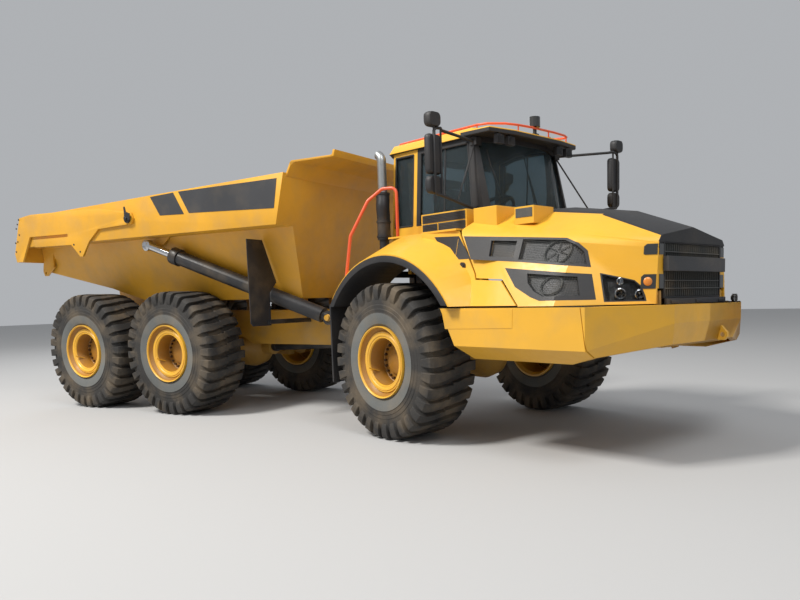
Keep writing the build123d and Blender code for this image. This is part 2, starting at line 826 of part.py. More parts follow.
skirt_rear_top = (905.0, bumper_top)
with BuildPart() as side_skirts:
    plate_xz(
        [
            skirt_rear_top,
            (bumper_corner - panel_gap, bumper_top + 12),
            (bumper_corner - panel_gap, bumper_low_side),
            (1180, bumper_low_side - 80),
        ],
        (skirt_half - skirt_plate, skirt_half),
    )
    block((1300, bumper_corner - panel_gap), (rail_y[1] + rest_gap, skirt_half - skirt_plate + 1), (front_rail_top - 30, front_rail_top))
    mirror(about=Plane.XZ)
side_skirts.part.label = "side_skirts"

# ---------------------------------------------------------------- fenders
seam = [(855.0, deck_height - 20), (1259.0, 1790.0), (1640.0, 1765.0), (1860.0, bumper_top + 12 + panel_gap)]
arch_plane = Plane(origin=(arch_centre[0], 0, arch_centre[1]), x_dir=(0, 1, 0), z_dir=(1, 0, 0))
arch_axis = Axis((arch_centre[0], 0, arch_centre[1]), (0, 1, 0))
# top of the fender beside the cab: the left one is the platform under the door
fender_top = {"left": platform_height, "right": deck_height}
fender_pieces = []
for side_name, side in sides.items():
    rise = fender_top[side_name] - arch_centre[1]
    with BuildPart() as fender_form:
        # the arch is a strip of a cone round the wheel
        with BuildSketch(arch_plane) as strip:
            with BuildLine():
                Polyline(
                    (fender_inner, rise - 16),
                    (fender_outer, arch_radius),
                    (fender_outer, arch_radius + 16),
                    (fender_inner, rise),
                    close=True,
                )
            make_face()
        revolve(strip.sketch, axis=arch_axis, revolution_arc=360)
        block((-2000, 2200), (0, 2000), (-900, bumper_top + 120), Mode.SUBTRACT)
        plate_xz([(seam[0][0], 3000), seam[0], seam[1], (2300, 1400), (2300, 3000)], (0, 2000), Mode.SUBTRACT)
        # side panel ahead of the arch
        plate_xz(
            [
                (arch_centre[0] + 1060, bumper_top + 12 + panel_gap),
                (arch_centre[0] + 960, 1640),
                (seam[1][0] - 60, seam[1][1]),
                (seam[1][0], seam[1][1] - panel_gap),
                (seam[2][0], seam[2][1] - panel_gap),
                (seam[3][0] - panel_gap, seam[3][1]),
            ],
            (fender_outer - 160, fender_outer - 130),
        )
        # deck between the fender and the cab, on its bracket
        deck = fender_top[side_name]
        block((-420, seam[0][0] - panel_gap), (cab_half_low + moving_gap, fender_inner + 2), (deck - 20, deck))
        arm_z = min(deck - 200, cab_floor - 100)
        block((-300, -240), (fender_inner - 250, fender_inner - 190), (arm_z, deck - 19))
        block((-300, -240), (rail_y[0], fender_inner - 190), (arm_z, arm_z + 60))
        block((-300, -240), rail_y, (front_rail_height(-300) + rest_gap, arm_z + 1))
    with BuildPart() as fender:
        if side > 0:
            add(fender_form.part)
        else:
            mirror(fender_form.part, about=Plane.XZ)
    fender.part.label = f"fender_{side_name}"
    fender_pieces.append(fender.part)

liner_inner = 1000.0
with BuildPart() as fender_liners:
    with BuildSketch(arch_plane) as strip:
        with BuildLine():
            Polyline(
                (liner_inner, arch_radius - 70),
                (fender_outer + 10, arch_radius - 70),
                (fender_outer + 10, arch_radius - rest_gap),
                (fender_outer - 30, arch_radius - rest_gap),
                (fender_outer - 30, arch_radius - 56),
                (liner_inner, arch_radius - 56),
                close=True,
            )
        make_face()
    revolve(strip.sketch, axis=arch_axis, revolution_arc=360)
    block((-2000, 2200), (0, 2000), (-900, bumper_top + 30), Mode.SUBTRACT)
    # flap behind the wheel
    block((-985, -958), (liner_inner, fender_outer + 10), (600, bumper_top + 60))
    mirror(about=Plane.XZ)
fender_liners.part.label = "fender_liners"

# ---------------------------------------------------------------- cab's plan
cab_lean_side = (cab_half_low - cab_half_high) / (cab_roof_base - cab_floor)
windscreen_lean = 0.22
windscreen_bow = 190.0
bow_width = 415.0  # of the screen's side panes, across
cab_taper = 60 / (cab_front - cab_rear - 170)  # the sides draw in towards the front


def cab_half(z):
    """Half width of the cab at a height: its sides lean in."""
    return cab_half_low - (z - cab_floor) * cab_lean_side


def cab_plan(z, inset):
    """Plan of the cab at a height, with its rear corners cut and its windscreen bowed."""
    half = cab_half(z) - inset
    front = cab_front - inset - max(0.0, z - cab_sill) * windscreen_lean
    rear = cab_rear + inset
    corner = half - (front - rear - 170) * cab_taper
    right = [(rear, half - 190), (rear + 170, half), (front, corner), (front + windscreen_bow, corner - bow_width)]
    return right + [(x, -y) for x, y in reversed(right)]


def cab_section(z, inset):
    with BuildSketch(Plane.XY.offset(z)) as profile:
        with BuildLine():
            Polyline(*cab_plan(z, inset), close=True)
        make_face()
    return profile.sketch


# ---------------------------------------------------------------- hood
# sections of the hood: x, half width and height of the lower edge, the crease, the ridge, and the crown
hood_sections = [
    (868.0, (1400, 1500), (1195, 2300), (700, 2545), 2590),
    (1500.0, (1480, 1500), (1160, 2215), (620, 2500), 2570),
    (2300.0, (1400, 1500), (1010, 2150), (610, 2385), 2450),
    (hood_front, (690, 1500), (640, 2060), (600, 2130), 2230),
]


def hood_outline(low, crease, ridge, crown, inset):
    return [
        (0, low[1] - inset),
        (low[0] - inset * 1.1, low[1] - inset),
        (crease[0] - inset * 1.1, crease[1] - inset * 0.4),
        (ridge[0] - inset * 0.6, ridge[1] - inset),
        (0, crown - inset),
    ]


with BuildPart() as hood_inside:
    ruled_body(
        [
            section_yz(x - (hood_wall if x > 2900 else 300 if x < 900 else 0), hood_outline(low, crease, ridge, crown, hood_wall))
            for x, low, crease, ridge, crown in hood_sections
        ]
    )
with BuildPart() as hood_form:
    ruled_body([section_yz(x, hood_outline(low, crease, ridge, crown, 0)) for x, low, crease, ridge, crown in hood_sections])
    add(hood_inside.part, mode=Mode.SUBTRACT)

# openings in the hood's sides, as (x, z)
upper_vent = [(960.0, 2190.0), (2200.0, 2110.0), (2440.0, 2040.0), (2560.0, 1910.0), (2560.0, 1865.0), (1330.0, 1905.0), (1180.0, 1960.0)]
lower_vent = [(1720.0, 1830.0), (2440.0, 1795.0), (2540.0, 1560.0), (2080.0, 1560.0), (1860.0, 1640.0)]
lamp_opening = [(2600.0, 1560.0), (2600.0, 1790.0), (2790.0, 1740.0), (2850.0, 1600.0), (2850.0, 1560.0)]
with BuildPart() as hood:
    add(hood_form.part)
    cut = [
        (seam[0][0] - 200, seam[0][1] + 400),
        (seam[0][0] + panel_gap, seam[0][1] + 12),
        (seam[1][0] + panel_gap, seam[1][1] + panel_gap),
        (seam[2][0] + panel_gap, seam[2][1] + panel_gap),
        (seam[3][0] + panel_gap, seam[3][1] - 40),
        (600, seam[3][1] - 40),
    ]
    plate_xz(cut, (700, 1700), Mode.SUBTRACT)
    plate_xz(cut, (-1700, -700), Mode.SUBTRACT)
    for side in sides.values():
        # hinge lug, and the openings of the side grilles and the headlamp
        plate_xz(
            [
                (hood_hinge[0] - 30, hood_hinge[1] - 30),
                (hood_hinge[0] + 30, hood_hinge[1] - 30),
                (hood_front - 6, hood_hinge[1] + 70),
                (hood_front - 6, hood_hinge[1] + 268),
                (hood_hinge[0] - 80, hood_hinge[1] + 88),
            ],
            (lug_y, lug_y + 30) if side > 0 else (-lug_y - 30, -lug_y),
        )
        for outline in (upper_vent, lower_vent, lamp_opening):
            plate_xz(outline, (700, 1700) if side > 0 else (-1700, -700), Mode.SUBTRACT)
        rod(
            (hood_hinge[0], side * (lug_y - 10), hood_hinge[1]),
            (hood_hinge[0], side * (lug_y + 42), hood_hinge[1]),
            hinge_pin_radius + pin_gap,
            Mode.SUBTRACT,
        )
    # the rear edge follows the cab's front
    plate_xy(cab_plan(cab_sill, -16), (cab_floor - 300, cab_roof_base), Mode.SUBTRACT)
    # the front is open for the grille
    block((hood_front - 70, hood_front + 70), (-560, 560), (1545, 2080), Mode.SUBTRACT)
    block((hood_front - 70, hood_front + 70), (-lug_y - 36, lug_y + 36), (1480, hood_hinge[1] + 48), Mode.SUBTRACT)
hood.part.label = "hood"

hood_panels = {"hood_vents": [upper_vent, lower_vent], "headlamps": [lamp_opening]}
panel_pieces = []
for name, outlines in hood_panels.items():
    with BuildPart() as panel_prisms:
        for outline in outlines:
            with BuildSketch(Plane.XZ) as opening:
                with BuildLine():
                    Polyline(*outline, close=True)
                make_face()
                offset(amount=-rest_gap, kind=Kind.INTERSECTION, mode=Mode.REPLACE)
            for direction in (-1, 1):
                extrude(opening.sketch, amount=direction * 1700)
    with BuildPart() as panel:
        add(hood_form.part)
        add(panel_prisms.part, mode=Mode.INTERSECT)
    panel.part.label = name
    panel_pieces.append(panel.part)

with BuildPart() as hood_grille:
    block((hood_front - 30, hood_front + 30), (-560 + rest_gap, 560 - rest_gap), (1545 + rest_gap, 2080 - rest_gap))
    block((hood_front + 25, hood_front + 70), (-575, 575), (1740, 1850))
hood_grille.part.label = "hood_grille"

# ---------------------------------------------------------------- cab
with BuildPart() as cab_form:
    loft(sections=[cab_section(cab_floor, 0), cab_section(cab_sill, 0)], ruled=True)
    loft(sections=[cab_section(cab_sill, 0), cab_section(cab_roof_base, 0)], ruled=True)
with BuildPart() as cab_inside:
    loft(sections=[cab_section(cab_floor + 40, cab_wall), cab_section(cab_sill, cab_wall)], ruled=True)
    loft(sections=[cab_section(cab_sill, cab_wall), cab_section(cab_roof_base + 5, cab_wall)], ruled=True)
with BuildPart() as cab_pane_shell:
    loft(sections=[cab_section(cab_sill - 60, 20), cab_section(cab_roof_base - 20, 20)], ruled=True)
    loft(
        sections=[cab_section(cab_sill - 70, 20 + glass_thickness), cab_section(cab_roof_base - 10, 20 + glass_thickness)],
        ruled=True,
        mode=Mode.SUBTRACT,
    )

# side windows as (x from, x to) at the sill
quarter_window = (cab_rear + 215, -360.0)
door_window = (-235.0, 545.0)
window_lean = 105.0
door_low = platform_height + 25
door_rear = -295.0
door_front_gap = 24.0
door_opening = [
    (door_rear, door_low),
    (door_rear, cab_head + 20),
    (door_window[1] + 20, cab_head + 20),
    (door_window[1] + window_lean + 35, cab_sill - 30),
    (door_window[1] + window_lean + 35, door_low),
]
door_hinge = (door_rear - 12, cab_half_low + 40)
right_side = (-1200, -500)
left_side = (500, 1200)
windscreen_half = cab_half_high - 95
rear_window_half = 470.0


def window_outline(window, lean=0.0, inset=0.0):
    return [
        (window[0] + inset, cab_sill + inset),
        (window[0] + inset, cab_head - inset),
        (window[1] - inset, cab_head - inset),
        (window[1] + lean - inset, cab_sill + inset),
    ]


with BuildPart() as cab_shell:
    add(cab_form.part)
    add(cab_inside.part, mode=Mode.SUBTRACT)
    plate_xz(window_outline(quarter_window), right_side, Mode.SUBTRACT)
    plate_xz(window_outline(quarter_window), left_side, Mode.SUBTRACT)
    plate_xz(window_outline(door_window, window_lean), right_side, Mode.SUBTRACT)
    plate_xz(door_opening, left_side, Mode.SUBTRACT)
    block((600, 1200), (-windscreen_half, windscreen_half), (cab_sill, cab_head), Mode.SUBTRACT)
    block((-1100, -700), (-rear_window_half, rear_window_half), (cab_sill + 150, cab_head), Mode.SUBTRACT)
    # pins of the door
    for z in (door_low + 150, cab_head - 150):
        rod((*door_hinge, z - 28), (*door_hinge, z + 98), hinge_pin_radius)
        for low in (z - 28, z + 70 + pin_gap):
            block(
                (door_hinge[0] - 22, door_hinge[0] + 10),
                (cab_half(z) - 30, door_hinge[1] + 22),
                (low, low + 28 - pin_gap),
            )
    # feet on the frame
    for side in sides.values():
        for x in (-700.0, 400.0):
            y = side * (rail_y[0] + frame_rail_width / 2)
            block((x - 60, x + 60), (y - 50, y + 50), (front_rail_height(x - 60) + rest_gap, cab_floor + 1))
cab_shell.part.label = "cab_shell"

roof_half = cab_half(cab_roof_base) + 40
with BuildPart() as cab_roof:
    loft(sections=[cab_section(cab_roof_base + rest_gap, -45), cab_section(cab_roof_top, 0)], ruled=True)
    plate_xy(
        [(500, roof_half), (visor_front - 60, roof_half - 40), (visor_front, 400), (visor_front, -400), (visor_front - 60, 40 - roof_half), (500, -roof_half)],
        (cab_roof_base + rest_gap, cab_roof_base + 60),
    )
cab_roof.part.label = "cab_roof"

with BuildPart() as fixed_panes:
    plate_xz(window_outline(quarter_window, 0, rest_gap), right_side)
    plate_xz(window_outline(quarter_window, 0, rest_gap), left_side)
    plate_xz(window_outline(door_window, window_lean, rest_gap), right_side)
    block(
        (600, 1200),
        (-windscreen_half + rest_gap, windscreen_half - rest_gap),
        (cab_sill + rest_gap, cab_head - rest_gap),
    )
    block(
        (-1100, -700),
        (-rear_window_half + rest_gap, rear_window_half - rest_gap),
        (cab_sill + 150 + rest_gap, cab_head - rest_gap),
    )
with BuildPart() as cab_glass:
    add(cab_pane_shell.part)
    add(fixed_panes.part, mode=Mode.INTERSECT)
cab_glass.part.label = "cab_glass"

door_outline = [
    (door_rear + moving_gap, door_low + moving_gap),
    (door_rear + moving_gap, cab_head + 20 - moving_gap),
    (door_window[1] + 20 - door_front_gap, cab_head + 20 - moving_gap),
    (door_window[1] + window_lean + 35 - door_front_gap, cab_sill - 30),
    (door_window[1] + window_lean + 35 - door_front_gap, door_low + moving_gap),
]
door_pane = (door_window[0], door_window[1] - 65)
with BuildPart() as cab_door:
    add(cab_form.part)
    add(cab_inside.part, mode=Mode.SUBTRACT)
    plate_xz(door_outline, left_side, Mode.INTERSECT)
    plate_xz(window_outline(door_pane, window_lean), left_side, Mode.SUBTRACT)
    for z in (door_low + 150, cab_head - 150):
        block((door_hinge[0] - 22, door_rear + 60), (cab_half(z) + moving_gap, door_hinge[1] + 22), (z, z + 70))
        block((door_rear + moving_gap + 2, door_rear + 60), (cab_half(z) - 30, door_hinge[1]), (z, z + 70))
        rod((*door_hinge, z - 1), (*door_hinge, z + 71), hinge_pin_radius + pin_gap, Mode.SUBTRACT)
cab_door.part.label = "cab_door"

with BuildPart() as door_glass:
    add(cab_pane_shell.part)
    plate_xz(window_outline(door_pane, window_lean, rest_gap), left_side, Mode.INTERSECT)
door_glass.part.label = "door_glass"

# ---------------------------------------------------------------- inside the cab
seat_x = -260.0
with BuildPart() as operator_seat:
    block((seat_x - 250, seat_x + 270), (-260, 260), (cab_floor + 420, cab_floor + 540))
    block((seat_x - 340, seat_x - 240), (-250, 250), (cab_floor + 480, cab_floor + 1130))
    block((seat_x - 180, seat_x + 180), (-190, 190), (cab_floor + 40 + rest_gap, cab_floor + 421))
operator_seat.part.label = "operator_seat"

wheel_centre = Vector(330, 0, cab_floor + 730)
wheel_axis = Vector(-0.5, 0, 0.866)
with BuildPart() as dashboard:
    block((480, 760), (-640, 640), (cab_floor + 40 + rest_gap, cab_sill + 40))
    rod(tuple(wheel_centre - wheel_axis * 420 + Vector(80, 0, 0)), tuple(wheel_centre), 34)
    with BuildSketch(Plane(origin=wheel_centre, z_dir=wheel_axis)) as wheel_ring:
        Circle(225)
        Circle(195, mode=Mode.SUBTRACT)
        Rectangle(400, 50)
    extrude(wheel_ring.sketch, amount=26)
dashboard.part.label = "dashboard"

# ---------------------------------------------------------------- mirrors, rails, exhaust, lamps
# outer arm of the mirrors as (x, y): the left one stands clear of the door
mirror_places = {"left": (1060.0, 1440.0), "right": (600.0, 1300.0)}
with BuildPart() as cab_envelope:
    loft(sections=[cab_section(cab_floor, -rest_gap), cab_section(cab_sill, -rest_gap)], ruled=True)
    loft(sections=[cab_section(cab_sill, -rest_gap), cab_section(cab_roof_base, -rest_gap)], ruled=True)
with BuildPart() as mirrors:
    for side_name, (mirror_x, mirror_y) in mirror_places.items():
        side = sides[side_name]
        root = (cab_front - 220, side * (cab_half_high - 90), cab_roof_base - 60)
        outer = (mirror_x + 20, side * mirror_y, cab_roof_base + 20)
        low_end = (mirror_x + 20, side * mirror_y, 2700.0)
        foot = (cab_front - 120, side * (cab_half(2560) - 90), 2560.0)
        rod(root, outer, mirror_tube_radius)
        rod(outer, low_end, mirror_tube_radius)
        rod(low_end, foot, mirror_tube_radius)
        block((mirror_x - 25, mirror_x + 25), (side * mirror_y - 90, side * mirror_y + 90), (2740, 3380))
        block((mirror_x - 30, mirror_x + 40), (side * mirror_y - 60, side * mirror_y + 60), (3430, 3540))
        rod(
            (mirror_x + 20, side * mirror_y, 3370),
            (mirror_x + 20, side * mirror_y, 3450),
            mirror_tube_radius,
        )
    add(cab_envelope.part, mode=Mode.SUBTRACT)
mirrors.part.label = "mirrors"

with BuildPart() as fender_fill:
    with BuildSketch(arch_plane) as strip:
        with BuildLine():
            Polyline(
                (fender_inner, 0),
                (fender_inner, deck_height - arch_centre[1] + rest_gap),
                (fender_outer, arch_radius + 16 + rest_gap),
                (fender_outer, 0),
                close=True,
            )
        make_face()
    revolve(strip.sketch, axis=arch_axis, revolution_arc=360)
with BuildPart() as fender_fill_right:
    mirror(fender_fill.part, about=Plane.XZ)

with BuildPart() as handrails:
    # hoop beside the exhaust, from the rear of the fender up and down to the deck
    bent_tube(
        [
            (-749, -1560, 1790),
            (-700, -1500, 2350),
            (-560, -1330, 2760),
            (-470, -1180, 2905),
            (-300, -1100, 2905),
            (-300, -1100, deck_height + rest_gap),
        ],
        70,
        handrail_radius,
    )
    add(fender_fill_right.part, mode=Mode.SUBTRACT)
handrails.part.label = "handrails"

with BuildPart() as roof_rail:
    bent_tube(
        [
            (-820, -640, cab_roof_top + rest_gap),
            (-820, -640, cab_roof_top + 60),
            (500, -640, cab_roof_top + 60),
            (560, -560, cab_roof_top + 60),
            (560, 560, cab_roof_top + 60),
            (500, 640, cab_roof_top + 60),
            (-820, 640, cab_roof_top + 60),
            (-820, 640, cab_roof_top + rest_gap),
        ],
        40,
        12,
    )
roof_rail.part.label = "roof_rail"

with BuildPart() as roof_lights:
    rod((380, 560, cab_roof_top + rest_gap), (380, 560, cab_roof_top + 170), 62)
    for side in sides.values():
        for y in (430, 620):
            block((visor_front - 100, visor_front - 45), (side * y - 60, side * y + 60), (cab_roof_base - 115, cab_roof_base))
roof_lights.part.label = "roof_lights"

with BuildPart() as exhaust:
    rod((-740, -965, 2330), (-740, -965, 2900), 95)
    bent_tube([(-740, -965, 2899), (-740, -965, 3300), (-800, -965, 3390)], 120, 62)
    rod((-740, -965, cab_floor - 120), (-740, -965, 2331), 60)
    block((-890, -790), (-1010, -rail_y[0]), (cab_floor - 120, cab_floor - 40))
    block((-791, -690), (-1010, -910), (cab_floor - 120, cab_floor - 40))
    block((-890, -790), (-rail_y[1], -rail_y[0]), (front_rail_top + 70 + rest_gap, cab_floor - 119))
exhaust.part.label = "exhaust"

# ---------------------------------------------------------------- placing and writing
rear_pieces = [
    *wheel_pieces["middle", "left"],
    *wheel_pieces["middle", "right"],
    *wheel_pieces["rear", "left"],
    *wheel_pieces["rear", "right"],
    middle_axle.part,
    rear_axle.part,
    bogie_beams.part,
    rear_frame.part,
    propshafts.part,
    side_guards.part,
    dump_body.part,
    tailgate.part,
    *hoist_pieces["left"],
    *hoist_pieces["right"],
    hitch.part,
]
front_pieces = [
    *wheel_pieces["front", "left"],
    *wheel_pieces["front", "right"],
    front_axle.part,
    front_frame.part,
    *steer_pieces["left"],
    *steer_pieces["right"],
    engine_block.part,
    bumper.part,
    side_skirts.part,
    *fender_pieces,
    fender_liners.part,
    hood.part,
    hood_grille.part,
    *panel_pieces,
    cab_shell.part,
    cab_roof.part,
    cab_glass.part,
    cab_door.part,
    door_glass.part,
    operator_seat.part,
    dashboard.part,
    mirrors.part,
    handrails.part,
    roof_rail.part,
    roof_lights.part,
    exhaust.part,
]
placed = [(piece.label, piece) for piece in rear_pieces]
placed += [(piece.label, piece.moved(front_place)) for piece in front_pieces]
boxes = [piece.bounding_box() for label, piece in placed]
low = Vector(*[min(getattr(box.min, axis) for box in boxes) for axis in "XYZ"])
high = Vector(*[max(getattr(box.max, axis) for box in boxes) for axis in "XYZ"])
middle = Vector((low.X + high.X) / 2, (low.Y + high.Y) / 2, low.Z)

os.makedirs("parts", exist_ok=True)
for label, piece in placed:
    written = Part(piece.moved(Location(-middle)).wrapped, label=label)
    export_step(written, f"parts/{label}.step")
print("box", high - low, "origin at", middle)
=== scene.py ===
import json
import math

import bmesh
import bpy
from mathutils import Matrix, Vector
from mathutils.bvhtree import BVHTree


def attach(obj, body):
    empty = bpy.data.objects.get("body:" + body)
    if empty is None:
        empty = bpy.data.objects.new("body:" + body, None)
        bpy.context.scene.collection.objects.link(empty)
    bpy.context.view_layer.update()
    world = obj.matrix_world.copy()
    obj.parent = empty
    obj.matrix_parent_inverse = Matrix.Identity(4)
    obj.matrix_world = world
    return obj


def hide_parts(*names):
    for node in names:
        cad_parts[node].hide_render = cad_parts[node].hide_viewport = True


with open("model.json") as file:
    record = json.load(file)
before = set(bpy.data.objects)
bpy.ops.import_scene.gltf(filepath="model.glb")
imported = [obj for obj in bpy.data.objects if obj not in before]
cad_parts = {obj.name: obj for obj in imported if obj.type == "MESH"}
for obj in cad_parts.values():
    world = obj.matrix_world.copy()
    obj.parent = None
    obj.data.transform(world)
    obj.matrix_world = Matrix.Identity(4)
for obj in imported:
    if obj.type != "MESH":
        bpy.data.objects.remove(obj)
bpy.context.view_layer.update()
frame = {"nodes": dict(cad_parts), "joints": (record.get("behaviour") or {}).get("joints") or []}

# ---- the two units ------------------------------------------------------------------
# The rear unit is drawn about the point on the floor midway between its two axles, and
# the front unit about the point under its own axle. Both are read off the wheels' joints,
# and a piece is drawn straight ahead in its unit and then placed.
joint = {j["name"]: j for j in frame["joints"]}
wheel_at = {
    (axle, side): Vector(joint[f"wheel_{axle}_{side}_spin"]["pos_m"])
    for axle in ("front", "middle", "rear")
    for side in ("left", "right")
}
bogie_centre = sum((wheel_at[a, s] for a in ("middle", "rear") for s in ("left", "right")), Vector()) / 4
front_centre = (wheel_at["front", "left"] + wheel_at["front", "right"]) / 2
across = wheel_at["front", "left"] - wheel_at["front", "right"]
front_turn = math.atan2(-across.x, across.y)
REAR = Matrix.Translation((bogie_centre.x, bogie_centre.y, 0))
FRONT = Matrix.Translation((front_centre.x, front_centre.y, 0)) @ Matrix.Rotation(front_turn, 4, "Z")

# ---- camera, floor and light --------------------------------------------------------
# A standing person's view from off the right front corner, a little to one side of the
# frame, over a plain pale floor under soft light.
eye = REAR @ Vector((9.687, -8.357, 1.595))
yaw, pitch, roll = (math.radians(a) for a in (118.45, -6.2, -1.27))
ahead = Vector((math.cos(yaw) * math.cos(pitch), math.sin(yaw) * math.cos(pitch), math.sin(pitch)))
level = Vector((math.sin(yaw), -math.cos(yaw), 0))
upright = level.cross(ahead)
right = math.cos(roll) * level + math.sin(roll) * upright
up = -math.sin(roll) * level + math.cos(roll) * upright
camera = bpy.data.objects.new("camera", bpy.data.cameras.new("camera"))
camera.matrix_world = Matrix.Translation(eye) @ Matrix((right, up, -ahead)).transposed().to_4x4()
camera.data.sensor_width = 36
camera.data.lens = 31.59
camera.data.shift_x, camera.data.shift_y = -0.0985, 0.092
camera.data.clip_start, camera.data.clip_end = 0.1, 200
bpy.context.scene.collection.objects.link(camera)
bpy.context.scene.camera = camera

floor_mesh = bmesh.new()
bmesh.ops.create_grid(floor_mesh, x_segments=1, y_segments=1, size=60)
floor = bpy.data.objects.new("floor", bpy.data.meshes.new("floor"))
floor_mesh.to_mesh(floor.data)
bpy.context.scene.collection.objects.link(floor)
pale = bpy.data.materials.new("pale_floor")
pale.use_nodes = True
pale_shader = pale.node_tree.nodes["Principled BSDF"]
pale_shader.inputs["Base Color"].default_value = (0.46, 0.46, 0.46, 1)
pale_shader.inputs["Roughness"].default_value = 0.9
floor.data.materials.append(pale)

world = bpy.data.worlds.new("studio")
bpy.context.scene.world = world
world.use_nodes = True
world.node_tree.nodes["Background"].inputs["Color"].default_value = (0.93, 0.96, 1.0, 1)
world.node_tree.nodes["Background"].inputs["Strength"].default_value = 0.46
lamps = {
    # name: place in the rear unit's frame, size, watts, colour
    "key": ((-2.5, -12.5, 17.5), 4.5, 5000, (1.0, 0.97, 0.92)),
    "fill": ((12.0, -7.0, 13.0), 6.0, 700, (1.0, 1.0, 1.0)),
    "back": ((-10.0, 10.0, 12.0), 10.0, 500, (0.95, 0.97, 1.0)),
}
for name, (place, size, watts, colour) in lamps.items():
    lamp = bpy.data.objects.new(name, bpy.data.lights.new(name, "AREA"))
    lamp.data.size = size
    lamp.data.energy = watts
    lamp.data.color = colour
    lamp.location = REAR @ Vector(place)
    aim = REAR @ Vector((2.0, 0, 1.2)) - lamp.location
    lamp.rotation_euler = aim.to_track_quat("-Z", "Y").to_euler()
    bpy.context.scene.collection.objects.link(lamp)
bpy.context.scene.view_settings.view_transform = "Standard"

# ---- tyres ----------------------------------------------------------------------------
# Six earthmover tyres of black rubber, 1.78 m across and 0.69 m wide, with 32 lugs a side
# that wrap down the shoulder. The side walls are greyed by dust near the rim. Each is
# seated on its rim and turns with it.


def paint(name, colour, rough=0.45, metal=0.0, tone=0.12, dirt=0.0, low=0.0, grain=40.0, bump=0.1, coat=0.0):
    """Painted or moulded finish: uneven tone, fine grain, and dust that gathers in patches and low down."""
    material = bpy.data.materials.new(name)
    material.use_nodes = True
    nodes, links = material.node_tree.nodes, material.node_tree.links
    shader = nodes["Principled BSDF"]
    shader.inputs["Metallic"].default_value = metal
    shader.inputs["Coat Weight"].default_value = coat
    shader.inputs["Coat Roughness"].default_value = 0.4
    place = nodes.new("ShaderNodeTexCoord")

    def noise(scale, detail):
        texture = nodes.new("ShaderNodeTexNoise")
        texture.inputs["Scale"].default_value = scale
        texture.inputs["Detail"].default_value = detail
        links.new(place.outputs["Object"], texture.inputs["Vector"])
        return texture.outputs["Fac"]

    def ramp(source, start, end, first, last):
        spread = nodes.new("ShaderNodeMapRange")
        for socket, value in zip(spread.inputs[1:5], (start, end, first, last)):
            socket.default_value = value
        links.new(source, spread.inputs["Value"])
        return spread.outputs["Result"]

    def mix(share, first, second):
        blend = nodes.new("ShaderNodeMix")
        blend.data_type = "RGBA"
        for socket, value in (
            (blend.inputs["Factor"], share), (blend.inputs["A"], first), (blend.inputs["B"], second)
        ):
            if isinstance(value, tuple):
                socket.default_value = (*value, 1)
            else:
                links.new(value, socket)
        return blend.outputs["Result"]

    patches = noise(1.1, 5)
    fine = noise(grain, 6)
    deep = tuple(c * (1 - tone) for c in colour)
    pale = tuple(min(1, c * (1 + tone * 0.6)) for c in colour)
    look = mix(ramp(patches, 0.35, 0.65, 0, 1), deep, pale)
    look = mix(ramp(fine, 0.55, 0.9, 0, 0.25), look, deep)
    if dirt or low:
        dust = ramp(noise(3.3, 9), 0.45, 0.75, 0, dirt)
        if low:
            height = nodes.new("ShaderNodeSeparateXYZ")
            links.new(place.outputs["Object"], height.inputs["Vector"])
            settled = nodes.new("ShaderNodeMath")
            settled.operation = "MAXIMUM"
            links.new(dust, settled.inputs[0])
            links.new(ramp(height.outputs["Z"], 1.3, 0.2, 0, low), settled.inputs[1])
            dust = settled.outputs["Value"]
        look = mix(dust, look, (0.30, 0.22, 0.13))
    links.new(look, shader.inputs["Base Color"])
    links.new(ramp(fine, 0.3, 0.7, rough - 0.08, rough + 0.1), shader.inputs["Roughness"])
    relief = nodes.new("ShaderNodeBump")
    relief.inputs["Strength"].default_value = bump
    relief.inputs["Distance"].default_value = 0.004
    links.new(fine, relief.inputs["Height"])
    links.new(relief.outputs["Normal"], shader.inputs["Normal"])
    return material


def piece(name, mesh, materials, body, stands_for=(), bevel=0.0):
    """Closes a bmesh in metres into a named piece that rides on a body."""
    bmesh.ops.recalc_face_normals(mesh, faces=mesh.faces)
    made = bpy.data.objects.new(name, bpy.data.meshes.new(name))
    mesh.to_mesh(made.data)
    mesh.free()
    for material in materials:
        made.data.materials.append(material)
    made.data.shade_smooth()
    made.data.set_sharp_from_angle(angle=math.radians(32))
    if bevel:
        edge = made.modifiers.new("bevel", "BEVEL")
        edge.width = bevel
        edge.segments = 2
        edge.limit_method = "ANGLE"
        edge.angle_limit = math.radians(40)
        edge.harden_normals = True
    bpy.context.scene.collection.objects.link(made)
    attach(made, body)
    if stands_for:
        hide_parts(*stands_for)
    return made


def spun(mesh, outline, placing, steps=64, material=0):
    """Turns an outline of (along the axle, radius) in millimetres about the local Y axis."""
    loop = [mesh.verts.new((0, along / 1000, radius / 1000)) for along, radius in outline]
    edges = [mesh.edges.new(pair) for pair in zip(loop, loop[1:] + loop[:1])]
    bmesh.ops.spin(
        mesh,
        geom=loop + edges,
        cent=(0, 0, 0),
        axis=(0, 1, 0),
        dvec=(0, 0, 0),
        angle=math.tau,
        steps=steps,
        use_merge=True,
    )
    verts = {v for e in edges for f in e.link_faces for v in f.verts}
    grown = set(verts)
    while verts:
        verts = {o for v in verts for f in v.link_faces for o in f.verts} - grown
        grown |= verts
    for vert in grown:
        for face in vert.link_faces:
            face.material_index = material
            face.smooth = True
    bmesh.ops.transform(mesh, matrix=placing, verts=list(grown))


def wheel_seat(axle, side):
    """Place of a wheel, with local Y along its axle and out of the machine."""
    unit = FRONT if axle == "front" else REAR
    turn = Matrix.Rotation(0 if side == "left" else math.pi, 4, "Z")
    return Matrix.Translation(wheel_at[axle, side]) @ unit.to_3x3().to_4x4() @ turn


